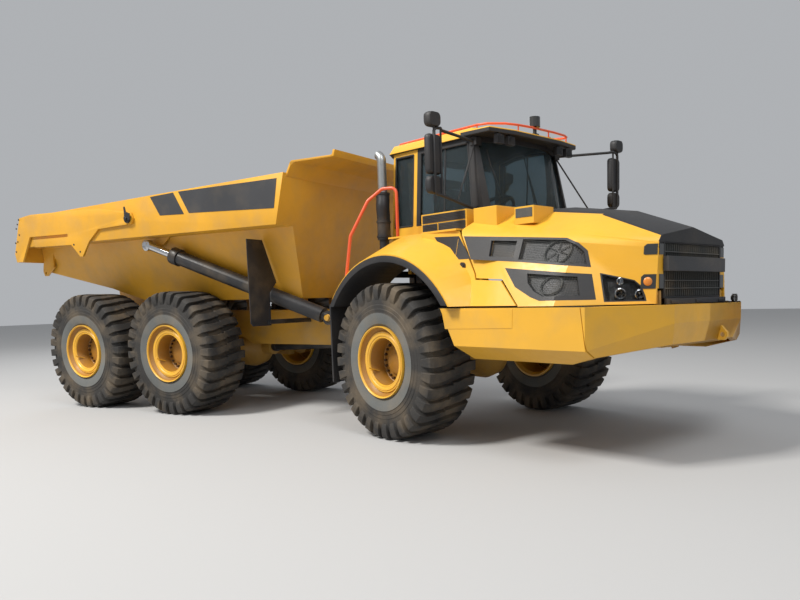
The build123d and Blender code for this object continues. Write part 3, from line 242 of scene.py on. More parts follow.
rubber = paint("rubber", (0.030, 0.028, 0.026), rough=0.78, tone=0.25, dirt=0.35, grain=55, bump=0.35)
dusty_rubber = paint("dusty_rubber", (0.13, 0.135, 0.13), rough=0.85, tone=0.3, dirt=0.3, grain=70, bump=0.35)
LUGS = 32
TREAD_RADIUS = 890
DUSTY_RADIUS = 0.56
# the wall and the tread's ground: distance from the middle plane, radius
wall = [
    (250, 389), (306, 391), (309, 414), (330, 436), (341, 490), (344, 556), (338, 566), (340, 598),
    (335, 606), (336, 645),
]
wall += [(330, 652), (330, 700), (318, 750), (302, 806), (270, 840), (120, 846)]
# a lug from the middle of the tread over the shoulder: outer y and radius, inner y and radius, shift, width
lug_rows = [
    (-8, 888, -8, 836, 30, 82),
    (60, 890, 60, 836, 28, 90),
    (130, 890, 130, 836, 6, 94),
    (215, 889, 215, 836, -5, 102),
    (298, 882, 280, 826, -8, 110),
    (334, 856, 298, 800, -8, 108),
    (344.5, 806, 314, 744, -8, 102),
    (344.5, 752, 322, 706, -8, 94),
    (338, 716, 326, 694, -8, 86),
]
for axle, side in wheel_at:
    tyre = bmesh.new()
    spun(tyre, wall + [(-y, r) for y, r in reversed(wall)], Matrix(), steps=96)
    for face in tyre.faces:
        middle = face.calc_center_median()
        if math.hypot(middle.x, middle.z) < DUSTY_RADIUS:
            face.material_index = 1
    for half in (-1, 1):
        for number in range(LUGS):
            start = math.tau * (number + (0.25 if half > 0 else -0.25)) / LUGS
            rings = []
            for outer_y, outer_r, inner_y, inner_r, shift, width in lug_rows:
                ring = []
                # a lug's foot is 12 percent wider than its top
                for y, radius, reach in (
                    (outer_y, outer_r, 1),
                    (outer_y, outer_r, -1),
                    (inner_y, inner_r, -1.12),
                    (inner_y, inner_r, 1.12),
                ):
                    angle = start + half * (shift + reach * width / 2) / TREAD_RADIUS
                    east, top = radius / 1000 * math.sin(angle), radius / 1000 * math.cos(angle)
                    ring.append(tyre.verts.new((east, half * y / 1000, top)))
                rings.append(ring)
            for near, far in zip(rings, rings[1:]):
                for i in range(4):
                    tyre.faces.new((near[i], near[i - 1], far[i - 1], far[i]))
            tyre.faces.new(rings[0])
            tyre.faces.new(rings[-1])
    bmesh.ops.transform(tyre, matrix=wheel_seat(axle, side), verts=tyre.verts)
    body = f"wheel_{axle}_{side}"
    piece(
        f"tread_{axle}_{side}",
        tyre,
        [rubber, dusty_rubber],
        body,
        [f"tyre_{axle}_{side}"],
        bevel=0.006,
    )

# ---- rims -----------------------------------------------------------------------------
# Five-piece steel rims, painted yellow: a flange, a step, a lock ring, and a deep well with the wheel nuts
# and the valve at its bottom, bolted to the hub. The step and the well's floor are painted shade: a darker
# brown copy of the rim yellow, with more dust.
rim_paint = paint("rim_paint", (0.80, 0.43, 0.03), rough=0.38, tone=0.10, dirt=0.22, grain=30, coat=0.3)
# painted shade for the rim's recesses: the rim yellow darkened, with extra dust
rim_well_dust_and_shade = paint("rim_well_dust_and_shade", (0.36, 0.16, 0.015), rough=0.5, tone=0.2, dirt=0.35, grain=30)
nut_steel = paint("nut_steel", (0.10, 0.06, 0.03), rough=0.5, metal=0.6, dirt=0.4)
rim_face = [
    (118, 0), (118, 120), (108, 150), (84, 160), (78, 248), (86, 258), (272, 266), (288, 276),
    (286, 292), (296, 300),
]
rim_face += [
    (298, 322), (289, 330), (290, 344), (276, 350), (300, 378), (330, 390), (344, 394), (349, 400), (349, 408)
]
rim_back = [
    (308.5, 408), (308.5, 386.2), (-308.5, 386.2), (-308.5, 408), (-349, 408), (-349, 386),
    (-300, 352), (40, 350),
]
rim_back += [(40, 190), (-118, 190), (-118, 110.4), (92, 110.4), (92, 0)]
NUTS = 20
NUT_CIRCLE, NUT_DEPTH = 0.212, 0.094
for axle, side in wheel_at:
    rim = bmesh.new()
    spun(rim, rim_face + rim_back, Matrix(), steps=72)
    for face in rim.faces:
        middle = face.calc_center_median()
        radius = math.hypot(middle.x, middle.z)
        # faces on the well's floor and on the step take the painted-shade copy of the rim yellow
        if middle.y > 0.03 and radius < 0.27 or 0.351 < radius < 0.385 and middle.y > 0:
            face.material_index = 1
    for number in range(NUTS):
        angle = math.tau * number / NUTS
        nut = bmesh.ops.create_cone(
            rim, cap_ends=True, segments=6, radius1=0.016, radius2=0.015, depth=0.03
        )["verts"]
        centre = (NUT_CIRCLE * math.sin(angle), NUT_DEPTH, NUT_CIRCLE * math.cos(angle))
        place = Matrix.Translation(centre) @ Matrix.Rotation(-math.pi / 2, 4, "X")
        bmesh.ops.transform(rim, matrix=place, verts=nut)
        for vert in nut:
            for face in vert.link_faces:
                face.material_index = 2
    valve = bmesh.ops.create_cone(
        rim, cap_ends=True, segments=10, radius1=0.007, radius2=0.007, depth=0.16
    )["verts"]
    place = Matrix.Translation((0.235, 0.25, -0.10)) @ Matrix.Rotation(math.radians(-72), 4, "X")
    bmesh.ops.transform(rim, matrix=place, verts=valve)
    bmesh.ops.transform(rim, matrix=wheel_seat(axle, side), verts=rim.verts)
    body = f"wheel_{axle}_{side}"
    piece(
        f"wheel_rim_{axle}_{side}",
        rim,
        [rim_paint, rim_well_dust_and_shade, nut_steel],
        body,
        [f"rim_{axle}_{side}"],
    )

# ---- painted steel --------------------------------------------------------------------
# Welded and pressed steel of both units, axles, hitch, fenders, bumper, cab and hood: the
# CAD nodes with their edges broken, in satin machinery yellow, black and cast grey.
yellow = paint(
    "yellow_paint",
    (0.80, 0.42, 0.028),
    rough=0.42,
    tone=0.07,
    dirt=0.10,
    low=0.0,
    grain=14,
    bump=0.03,
    coat=0.15,
)
lower_yellow = paint(
    "lower_yellow",
    (0.80, 0.42, 0.028),
    rough=0.40,
    tone=0.08,
    dirt=0.22,
    low=0.25,
    grain=18,
    bump=0.05,
    coat=0.25,
)
# dump body and tailgate: the machine yellow made darker, partly dust and partly painted shade on the body's
# sides
body_dust_and_shade_yellow = paint(
    "body_dust_and_shade_yellow", (0.72, 0.36, 0.024), rough=0.44, tone=0.10, dirt=0.25, grain=16, bump=0.06, coat=0.15
)
# frames, axles and bogie beams: a much darker copy of the yellow, dirt and dust low down together with
# painted shade under the machine
frame_dirt_and_shade_yellow = paint(
    "frame_dirt_and_shade_yellow", (0.55, 0.29, 0.03), rough=0.5, tone=0.2, dirt=0.5, low=0.4, grain=22, bump=0.1
)
black_steel = paint(
    "black_steel", (0.022, 0.022, 0.024), rough=0.42, tone=0.2, dirt=0.25, grain=30, bump=0.05
)
cast_grey = paint("cast_grey", (0.09, 0.08, 0.07), rough=0.62, tone=0.25, dirt=0.5, grain=60, bump=0.3)
chromed = paint("chromed", (0.66, 0.67, 0.69), rough=0.16, metal=1.0, tone=0.05, grain=90, bump=0.01)
black_plastic = paint(
    "black_plastic", (0.020, 0.020, 0.022), rough=0.55, tone=0.2, dirt=0.05, grain=120, bump=0.12
)
dark_grey = paint("dark_grey", (0.040, 0.041, 0.045), rough=0.5, tone=0.15, dirt=0.12, grain=90, bump=0.06)
signal_red = paint(
    "signal_red", (0.75, 0.10, 0.03), rough=0.38, tone=0.1, dirt=0.12, grain=40, bump=0.03, coat=0.2
)
woven = paint("seat_cloth", (0.035, 0.035, 0.04), rough=0.9, tone=0.2, grain=400, bump=0.5)


def clear(name, colour, values):
    """Clear or tinted pane, from its colour and its shader's other values."""
    material = bpy.data.materials.new(name)
    material.use_nodes = True
    shader = material.node_tree.nodes["Principled BSDF"]
    shader.inputs["Base Color"].default_value = (*colour, 1)
    for socket, value in values.items():
        shader.inputs[socket].default_value = value
    return material


tinted = {"Roughness": 0.03, "Transmission Weight": 0.92, "IOR": 1.15, "Specular IOR Level": 0.8}
glass = clear("cab_glazing", (0.26, 0.33, 0.36), tinted)
lens = clear("lens", (0.80, 0.82, 0.83), {"Roughness": 0.0, "Transmission Weight": 1.0, "IOR": 1.12})
finishes = {
    # material: (nodes, width of the broken edge)
    yellow: (("cab_shell", "hood", "fender_left", "fender_right", "cab_door"), 0.006),
    lower_yellow: (("bumper", "side_skirts"), 0.010),
    body_dust_and_shade_yellow: (("dump_body", "tailgate"), 0.006),
    frame_dirt_and_shade_yellow: (
        ("rear_frame", "front_frame", "middle_axle", "rear_axle", "front_axle", "bogie_beams"), 0.005
    ),
    black_steel: (("propshafts", "side_guards", "exhaust"), 0.004),
    cast_grey: (("hitch", "engine_block"), 0.006),
    black_plastic: (("fender_liners", "dashboard", "mirrors"), 0.004),
    dark_grey: (("cab_roof", "hood_grille", "hood_vents"), 0.005),
    signal_red: (("handrails", "roof_rail"), 0.0),
    glass: (("cab_glass", "door_glass"), 0.0),
    lens: (("roof_lights", "headlamps"), 0.0),
    woven: (("operator_seat",), 0.01),
}
dressed = [(name, material, width) for material, (names, width) in finishes.items() for name in names]
dressed += [(name, black_steel, 0.003) for name in frame["nodes"] if "barrel" in name]
dressed += [(name, chromed, 0.0) for name in frame["nodes"] if "_rod_" in name]
for name, material, width in dressed:
    node = frame["nodes"][name]
    node.data.materials.clear()
    node.data.materials.append(material)
    node.data.shade_smooth()
    join = node.modifiers.new("join", "WELD")
    join.merge_threshold = 0.00005
    flatten = node.modifiers.new("flatten", "DECIMATE")
    flatten.decimate_type = "DISSOLVE"
    flatten.angle_limit = math.radians(1.5)
    edge = node.modifiers.new("edge", "BEVEL")
    edge.width = max(width, 0.001)
    edge.segments = 2
    edge.limit_method = "ANGLE"
    edge.angle_limit = math.radians(36)
    edge.harden_normals = True

# ---- hood shell -----------------------------------------------------------------------
# Moulded hood, 20 mm thick with rounded creases, black on top. Its sides are cut for two
# intakes and the headlamp, its front for the grille, and its rear edge follows the cab.


def bridge(mesh, near, far):
    """Band of faces between two rings of vertices."""
    return [mesh.faces.new((near[k - 1], near[k], far[k], far[k - 1])) for k in range(len(near))]


def hull_through(sections, placing=FRONT):
    """Solid through rings of points in millimetres, capped at both ends."""
    mesh = bmesh.new()
    rings = [[mesh.verts.new(placing @ (Vector(p) / 1000)) for p in ring] for ring in sections]
    mesh.faces.new(rings[0])
    mesh.faces.new(rings[-1])
    for near, far in zip(rings, rings[1:]):
        bridge(mesh, near, far)
    bmesh.ops.recalc_face_normals(mesh, faces=mesh.faces)
    return mesh


def prism(outline, start, end, placing=FRONT, upright=False):
    """Solid between two widths over an outline of (x, z), or between two heights over one of (x, y)."""
    if upright:
        return hull_through([[(x, y, z) for x, y in outline] for z in (start, end)], placing)
    return hull_through([[(x, y, z) for x, z in outline] for y in (start, end)], placing)


def carve(mesh, cutters, keep=False):
    """The solid less the cutters, or what they all share."""
    made = []
    for each in (mesh, *cutters):
        bmesh.ops.triangulate(each, faces=each.faces)
        holder = bpy.data.objects.new("carving", bpy.data.meshes.new("carving"))
        each.to_mesh(holder.data)
        each.free()
        bpy.context.scene.collection.objects.link(holder)
        made.append(holder)
    for cutter in made[1:]:
        step = made[0].modifiers.new("carve", "BOOLEAN")
        step.object = cutter
        step.operation = "INTERSECT" if keep else "DIFFERENCE"
        step.solver = "MANIFOLD"
    result = bmesh.new()
    result.from_mesh(made[0].evaluated_get(bpy.context.evaluated_depsgraph_get()).to_mesh())
    for holder in made:
        shape = holder.data
        bpy.data.objects.remove(holder)
        bpy.data.meshes.remove(shape)
    bmesh.ops.remove_doubles(result, verts=result.verts, dist=0.00002)
    return result


def rounded(corners, shares):
    """Polyline with each inner corner replaced by a short curve."""
    line = [Vector(corners[0])]
    for before, corner, after, share in zip(corners, corners[1:], corners[2:], shares):
        before, corner, after = Vector(before), Vector(corner), Vector(after)
        start, end = corner.lerp(before, share[0]), corner.lerp(after, share[1])
        for t in (0, 0.25, 0.5, 0.75, 1):
            line.append(start.lerp(corner, t).lerp(corner.lerp(end, t), t))
    return line + [Vector(corners[-1])]


# x, then half width and height of the lower edge, the crease and the ridge, and the crown
HOOD_ROWS = (
    (868, (1400, 1500), (1195, 2300), (700, 2545), 2590),
    (1500, (1480, 1500), (1160, 2215), (620, 2500), 2570),
    (2300, (1400, 1500), (1010, 2150), (610, 2385), 2450),
    (2930, (690, 1500), (640, 2060), (600, 2130), 2230),
)


def hood_ring(row, thin=0):
    """One section of the hood, or of its hollow when a thickness is given."""
    x, low, crease, ridge, crown = row
    half = rounded(
        [
            (low[0] - thin * 1.1, low[1] - thin),
            (crease[0] - thin * 1.1, crease[1] - thin * 0.4),
            (ridge[0] - thin * 0.6, ridge[1] - thin),
            (0, crown - thin),
        ],
        [(0.09, 0.16), (0.12, 0.12)] if not thin else [(0.02, 0.02), (0.02, 0.02)],
    )
    shift = 0 if not thin else -thin if x > 2900 else -300 if x < 900 else 0
    return [(x + shift, p.x, p.y) for p in half] + [(x + shift, -p.x, p.y) for p in reversed(half[:-1])]


UPPER_VENT = [(940, 2240), (2183, 2140), (2316, 2085), (2390, 2010), (2448, 1852), (1803, 1926), (1135, 1985)]
LOWER_VENT = [(1615, 1877), (2469, 1787), (2550, 1550), (2127, 1550), (2012, 1587), (1803, 1686)]
LAMP = [(2605, 1527), (2517, 1795), (2762, 1722), (2818, 1666), (2868, 1527)]
hood_solid = hull_through([hood_ring(row) for row in HOOD_ROWS])
to_front = FRONT.inverted()
hood_skin = hood_solid.copy()
bmesh.ops.transform(hood_skin, matrix=Matrix.Scale(1000, 4) @ to_front, verts=hood_skin.verts)
hood_skin = BVHTree.FromBMesh(hood_skin)
cutters = [hull_through([hood_ring(row, 20) for row in HOOD_ROWS])]
behind = [(655, 2710), (863, 2322), (1229, 1790), (1618, 1768), (1896, 1508), (1896, 1400), (600, 1400)]
for side in (-1, 1):
    for outline in (behind, UPPER_VENT, LOWER_VENT, LAMP):
        cutters.append(prism(outline, side * 705, side * 1700))
cab_plan = [(-900, 797), (846, 797), (1036, 382), (1036, -382), (846, -797), (-900, -797)]
cutters.append(prism(cab_plan, 1600, 3000, upright=True))
cutters.append(prism([(2860, 1545), (3000, 1545), (3000, 2080), (2860, 2080)], -560, 560))
cutters.append(prism([(2860, 1440), (3000, 1440), (3000, 1640), (2860, 1640)], -660, 660))
shell = carve(hood_solid, cutters)
ridge_line = [(row[0], row[3][0]) for row in HOOD_ROWS]
for face in shell.faces:
    middle = to_front @ face.calc_center_median() * 1000
    edge = next(
        b + (a - b) * (x1 - middle.x) / (x1 - x0)
        for (x0, a), (x1, b) in zip(ridge_line, ridge_line[1:])
        if middle.x <= x1 + 5
    )
    on_top = middle.x > 1500 and abs(middle.y) < edge + 8 and middle.z > 2140
    on_brow = middle.x > 2915 and middle.z > 2060
    if on_top or on_brow:
        face.material_index = 1
piece("hood_shell", shell, [yellow, black_plastic], "hood", ["hood"], bevel=0.008)
brow_line = [(-640, 2066), (640, 2066), (642, 2078), (602, 2128), (0, 2226), (-602, 2128), (-642, 2078)]
brow = hull_through([[(x, y, z) for y, z in brow_line] for x in (2930.5, 2936)])
piece("hood_brow", brow, [black_plastic], "hood")

# ---- fenders --------------------------------------------------------------------------
# Pressed fenders: a flared strip round the wheel arch, a skin above and ahead of it that
# carries on the hood's side as far as the parting line, and the deck beside the cab.
SIDES = (("left", 1), ("right", -1))
DECK = {"left": 2090, "right": 2330}
ARCH_CENTRE = (0.07, 0, 0.8)
# the strip round the arch: its two edges, the lip's radius and the plate's thickness
ARCH_IN, ARCH_OUT, LIP_RADIUS, PLATE = 1150, 1640, 1275, 16
DECK_PLATE = 20
SKIN_LOW = 1508
# x, then half width and height of the lower edge and of the crease, as on the hood
SKIN_ROWS = [(300, (1328, 1500), (1226.5, 2376.4))] + [row[:3] for row in HOOD_ROWS[:3]]


def slab(mesh, corner, opposite, placing, material=0):
    """Box between two opposite corners in millimetres."""
    made = bmesh.ops.create_cube(mesh, size=1)["verts"]
    low, high = (Vector([pick(pair) for pair in zip(corner, opposite)]) for pick in (min, max))
    middle = (low + high) / 2000
    size = (high - low) / 1000
    bmesh.ops.transform(
        mesh, matrix=placing @ Matrix.Translation(middle) @ Matrix.Diagonal((*size, 1)), verts=made
    )
    for face in {f for v in made for f in v.link_faces}:
        face.material_index = material


def join(mesh, other):
    """Adds a bmesh to another one and frees it."""
    whole = bpy.data.meshes.new("part")
    other.to_mesh(whole)
    other.free()
    mesh.from_mesh(whole)
    bpy.data.meshes.remove(whole)


def skin_solid(side, inward=0, past=0, placing=FRONT):
    """Solid under a fender's outer skin, or the same drawn inward and grown past its edges."""
    rings = []
    for x, low, crease in SKIN_ROWS:
        foot, top = low[1] - past, crease[1] + past
        outline = ((900, foot), (low[0], foot), (crease[0], top), (900, top))
        rings.append([(x, side * (y - inward), z) for y, z in outline])
    return hull_through(rings, placing)


for side_name, side in SIDES:
    deck = DECK[side_name]
    rise = deck - 800

    def arch(outline):
        """Turns an outline of (width, radius) about the wheel arch's centre."""
        mesh = bmesh.new()
        spun(
            mesh,
            outline,
            FRONT @ Matrix.Translation(ARCH_CENTRE) @ Matrix.Diagonal((1, side, 1, 1)),
            steps=96,
        )
        bmesh.ops.recalc_face_normals(mesh, faces=mesh.faces)
        return mesh

    crown = rise - PLATE
    strip = arch([(ARCH_IN, crown), (ARCH_OUT, LIP_RADIUS), (ARCH_OUT, LIP_RADIUS + PLATE), (ARCH_IN, rise)])
    low_edge = [(2200, SKIN_LOW), (70, SKIN_LOW), (70, SKIN_LOW + 100), (-2000, SKIN_LOW + 100)]
    below = prism([(-2000, -900), (2200, -900), *low_edge], side * 10, side * 2000)
    ahead = prism(
        [(855, 3000), (855, 2310), (1221, 1782), (2300, 1400), (2300, 3000)], side * 10, side * 2000
    )
    fender = carve(strip, [below, ahead])
    skin = skin_solid(side)
    core = skin_solid(side, inward=20, past=5)
    slope = (crown - LIP_RADIUS) / (ARCH_OUT - ARCH_IN)
    under = arch(
        [(800, 0.5), (800, crown + (ARCH_IN - 800) * slope), (ARCH_OUT, LIP_RADIUS), (ARCH_OUT, 0.5)]
    )
    outline = [(300, deck - 1), (817, deck - 1), (817, 2310), (847, 2310), (1213, 1774), (1602, 1752)]
    outline += [(1872, SKIN_LOW), (1070, SKIN_LOW), (300, SKIN_LOW)]
    skin = carve(carve(skin, [prism(outline, side * 10, side * 2000)], keep=True), [core, under])
    join(fender, skin)
    slab(fender, (-420, side * 866, deck - DECK_PLATE), (847, side * 1152, deck), FRONT)
    slab(fender, (300, side * 1145, deck - DECK_PLATE), (847, side * 1228, deck), FRONT)
    arm = min(deck - 200, 1890)
    slab(fender, (-300, side * 900, arm), (-240, side * 960, deck - 19), FRONT)
    slab(fender, (-300, side * 450, arm), (-240, side * 960, arm + 60), FRONT)
    piece(
        f"fender_skin_{side_name}",
        fender,
        [yellow],
        "front_unit",
        [f"fender_{side_name}"],
        bevel=0.004,
    )

# ---- bumper and skirts ----------------------------------------------------------------
# Folded-plate bumper and side skirts, 24 mm thick. One crease runs along the skirt and
# climbs across the nose; the plates below it fold inwards. The seam between them leans.
CORNER, NOSE = (2725, 1500, 1105), (3115, 675, 1321)
NOSE_LOW, ARCH, ARCH_LOW = (3060, 610, 1125), (905, 1540, 1105), (905, 1325, 961)
FOLDS = ((NOSE, CORNER, NOSE_LOW), (NOSE, NOSE_LOW, (3060, 0, 1125)), (CORNER, ARCH, ARCH_LOW))
SKIRT_LOW, PLATE_TOP = 961, 1488
STAND = PLATE_TOP + 1
for side_name, side in SIDES:
    plan = [(905, side * 1540), (2725, side * 1500), (3115, side * 675), (3115, 0), (905, 0)]
    block = prism(plan, SKIRT_LOW, PLATE_TOP, upright=True)
    for fold in FOLDS:
        points = [FRONT @ (Vector((x, side * y, z)) / 1000) for x, y, z in fold]
        normal = (points[2] - points[0]).cross(points[1] - points[0]).normalized() * side
        whole = block.verts[:] + block.edges[:] + block.faces[:]
        cut = bmesh.ops.bisect_plane(block, geom=whole, plane_co=points[0], plane_no=normal, clear_outer=True)
        bmesh.ops.holes_fill(block, edges=[e for e in cut["geom_cut"] if isinstance(e, bmesh.types.BMEdge)])
    hollow = block.copy()
    squeeze = Matrix.Translation((-0.031, 0, 0.195)) @ Matrix.Diagonal((1, 0.984, 0.85, 1))
    bmesh.ops.transform(hollow, matrix=FRONT @ squeeze @ to_front, verts=hollow.verts)
    under = prism(
        [(2425, 900), (2425, SKIRT_LOW), (3060, 1125), (3200, 1125), (3200, 900)], side * -10, side * 1600
    )
    cutters = [hollow, under]
    # openings in the top, at the nose and in the floor: x from and to, reach out, z from and to
    for start, end, reach, low, high in (
        (800, 2650, 1410, 1428, 1500),
        (2640, 2990, 620, 1428, 1500),
        (800, 2650, 1265, 900, 1489),
    ):
        plan = [(start, side * -10), (end, side * -10), (end, side * reach), (start, side * reach)]
        cutters.append(prism(plan, low, high, upright=True))
    rear_slope = [(855, 1500), (905, PLATE_TOP), (1180, SKIRT_LOW), (1180, 850), (855, 850)]
    cutters.append(prism(rear_slope, side * -10, side * 1600))
    plates = carve(block, cutters)
    lean = 55 / (PLATE_TOP - 1105)
    for name, shift, far in (("bumper_plate", 0, 600), ("skirt_plate", -8, 3500)):
        edge = [(2680 + shift + (PLATE_TOP - z) * lean, z) for z in (700, 1700)]
        cut = carve(plates.copy(), [prism([*edge, (far, 1700), (far, 700)], side * -20, side * 1700)])
        if name == "bumper_plate":
            if side > 0:
                ear = [
                    (2961, 1275), (3085, 1275), (3160, 1195), (3163, 1150), (3135, 1117),
                    (3070, 1115), (2961, 1185),
                ]
                turns = [math.tau * k / 24 for k in range(24)]
                eye = prism([(3113 + 24 * math.cos(a), 1170 + 24 * math.sin(a)) for a in turns], 250, 330)
                join(cut, carve(prism(ear, 270, 310), [eye]))
            slab(cut, (2961, side * 400, 1321), (3086, side * 440, 1468), FRONT)
        else:
            slab(cut, (1300, side * 455, 1370), (2540, side * 1481, 1400), FRONT)
        stands_for = ["bumper" if name == "bumper_plate" else "side_skirts"] if side > 0 else []
        made = piece(
            f"{name}_{side_name}", cut, [lower_yellow], "front_unit", stands_for, bevel=0.008
        )
        made.data.shade_flat()
        made.modifiers["bevel"].harden_normals = False
    plates.free()

# ---- hood intakes and lamps -----------------------------------------------------------
# Each side of the hood has a framed wire-mesh intake above, a second one below with a round
# guard behind it, and the headlamp: a black housing behind a clear lens.


def on_side(side):
    """Place on the hood's side above a point (x, z), and the way out of it."""
    def spot(x, z):
        return hood_skin.ray_cast(Vector((x, side * 2500, z)), Vector((0, -side, 0)))[0]

    return spot, Vector((0, side, 0))


def inset(outline, depth):
    """The outline drawn in by a depth."""
    area = sum(a[0] * b[1] - b[0] * a[1] for a, b in zip(outline, outline[1:] + outline[:1]))
    turn = 1 if area > 0 else -1
    drawn = []
    for i, (x, z) in enumerate(outline):
        before, after = outline[i - 1], outline[(i + 1) % len(outline)]
        first = Vector((x - before[0], z - before[1])).normalized()
        second = Vector((after[0] - x, after[1] - z)).normalized()
        normals = Vector((-first.y, first.x)) * turn, Vector((-second.y, second.x)) * turn
        reach = (normals[0] + normals[1]) / max(0.35, 1 + normals[0].dot(normals[1]))
        drawn.append((x + reach.x * depth, z + reach.y * depth))
    return drawn


def lay(mesh, faces, spot, out, top, bottom, material=0, step=120.0):
    """Lays flat outlines that share corners on a surface as one closed plate between two heights."""
    flat = bmesh.new()
    corners = {}
    for outline in faces:
        for corner in outline:
            key = (round(corner[0], 1), round(corner[1], 1))
            if key not in corners:
                corners[key] = flat.verts.new((*corner, 0))
        flat.faces.new([corners[round(c[0], 1), round(c[1], 1)] for c in outline])
    for axis in (0, 1):
        values = [v.co[axis] for v in flat.verts]
        cut = math.floor(min(values) / step + 1) * step
        while cut < max(values) - 1:
            along = Vector((axis == 0, axis == 1, 0))
            bmesh.ops.bisect_plane(
                flat, geom=flat.verts[:] + flat.edges[:] + flat.faces[:], plane_co=along * cut, plane_no=along
            )
            cut += step
    bmesh.ops.triangulate(flat, faces=flat.faces)
    lifted = {}
    for vert in flat.verts:
        place = spot(vert.co.x, vert.co.y)
        lifted[vert] = [mesh.verts.new(FRONT @ ((place + out * height) / 1000)) for height in (top, bottom)]
    made = []
    for face in flat.faces:
        made.append(mesh.faces.new([lifted[v][0] for v in face.verts]))
        made.append(mesh.faces.new([lifted[v][1] for v in reversed(face.verts)]))
    for edge in flat.edges:
        if len(edge.link_faces) == 1:
            a, b = edge.verts
            made.append(mesh.faces.new((lifted[a][0], lifted[a][1], lifted[b][1], lifted[b][0])))
    for face in made:
        face.material_index = material
    flat.free()


def ring_of(outline, inner):
    """The strip between two outlines, as one face to a side."""
    count = len(outline)
    return [(outline[i], outline[(i + 1) % count], inner[(i + 1) % count], inner[i]) for i in range(count)]


def pipe(mesh, points, radius, placing, sides=10, material=0):
    """Tube of a radius along points in millimetres, closed at both ends."""
    points = [Vector(p) for p in points]
    rings = []
    for i, point in enumerate(points):
        before = points[max(i - 1, 0)]
        after = points[min(i + 1, len(points) - 1)]
        along = (after - before).normalized()
        if i == 0:
            across = along.orthogonal().normalized()
        else:
            across = (across - along * across.dot(along)).normalized()
        up = along.cross(across)
        bend = 1.0
        if 0 < i < len(points) - 1:
            bend = 1 / max(
                0.5, math.sqrt((1 + (point - before).normalized().dot((after - point).normalized())) / 2)
            )
        ring = []
        for k in range(sides):
            angle = math.tau * (k + 0.5) / sides
            reach = (across * math.cos(angle) + up * math.sin(angle)) * radius * bend
            ring.append(mesh.verts.new(placing @ ((point + reach) / 1000)))
        rings.append(ring)
    made = [mesh.faces.new(rings[0]), mesh.faces.new(rings[-1])]
    for near, far in zip(rings, rings[1:]):
        made += bridge(mesh, near, far)
    for face in made:
        face.material_index = material


def crossings(outline, axis, value):
    """Where a grid line meets an outline, in order."""
    met = []
    for a, b in zip(outline, outline[1:] + outline[:1]):
        if (a[axis] - value) * (b[axis] - value) < 0:
            share = (value - a[axis]) / (b[axis] - a[axis])
            met.append(a[1 - axis] + share * (b[1 - axis] - a[1 - axis]))
    return sorted(met)


def wires(mesh, outline, spot, out, height, pitch, radius, material):
    """Woven wires across an outline."""
    for axis in (0, 1):
        values = [p[axis] for p in outline]
        line = min(values) + pitch / 2
        while line < max(values):
            met = crossings(outline, axis, line)
            for start, end in zip(met[::2], met[1::2]):
                if end - start > 2 * pitch:
                    count = max(1, round((end - start) / 160))
                    run = [start + (end - start) * i / count for i in range(count + 1)]
                    points = [
                        spot(*((line, r) if axis == 0 else (r, line))) + out * (height + axis * radius)
                        for r in run
                    ]
                    pipe(mesh, points, radius, FRONT, sides=4, material=material)
            line += pitch


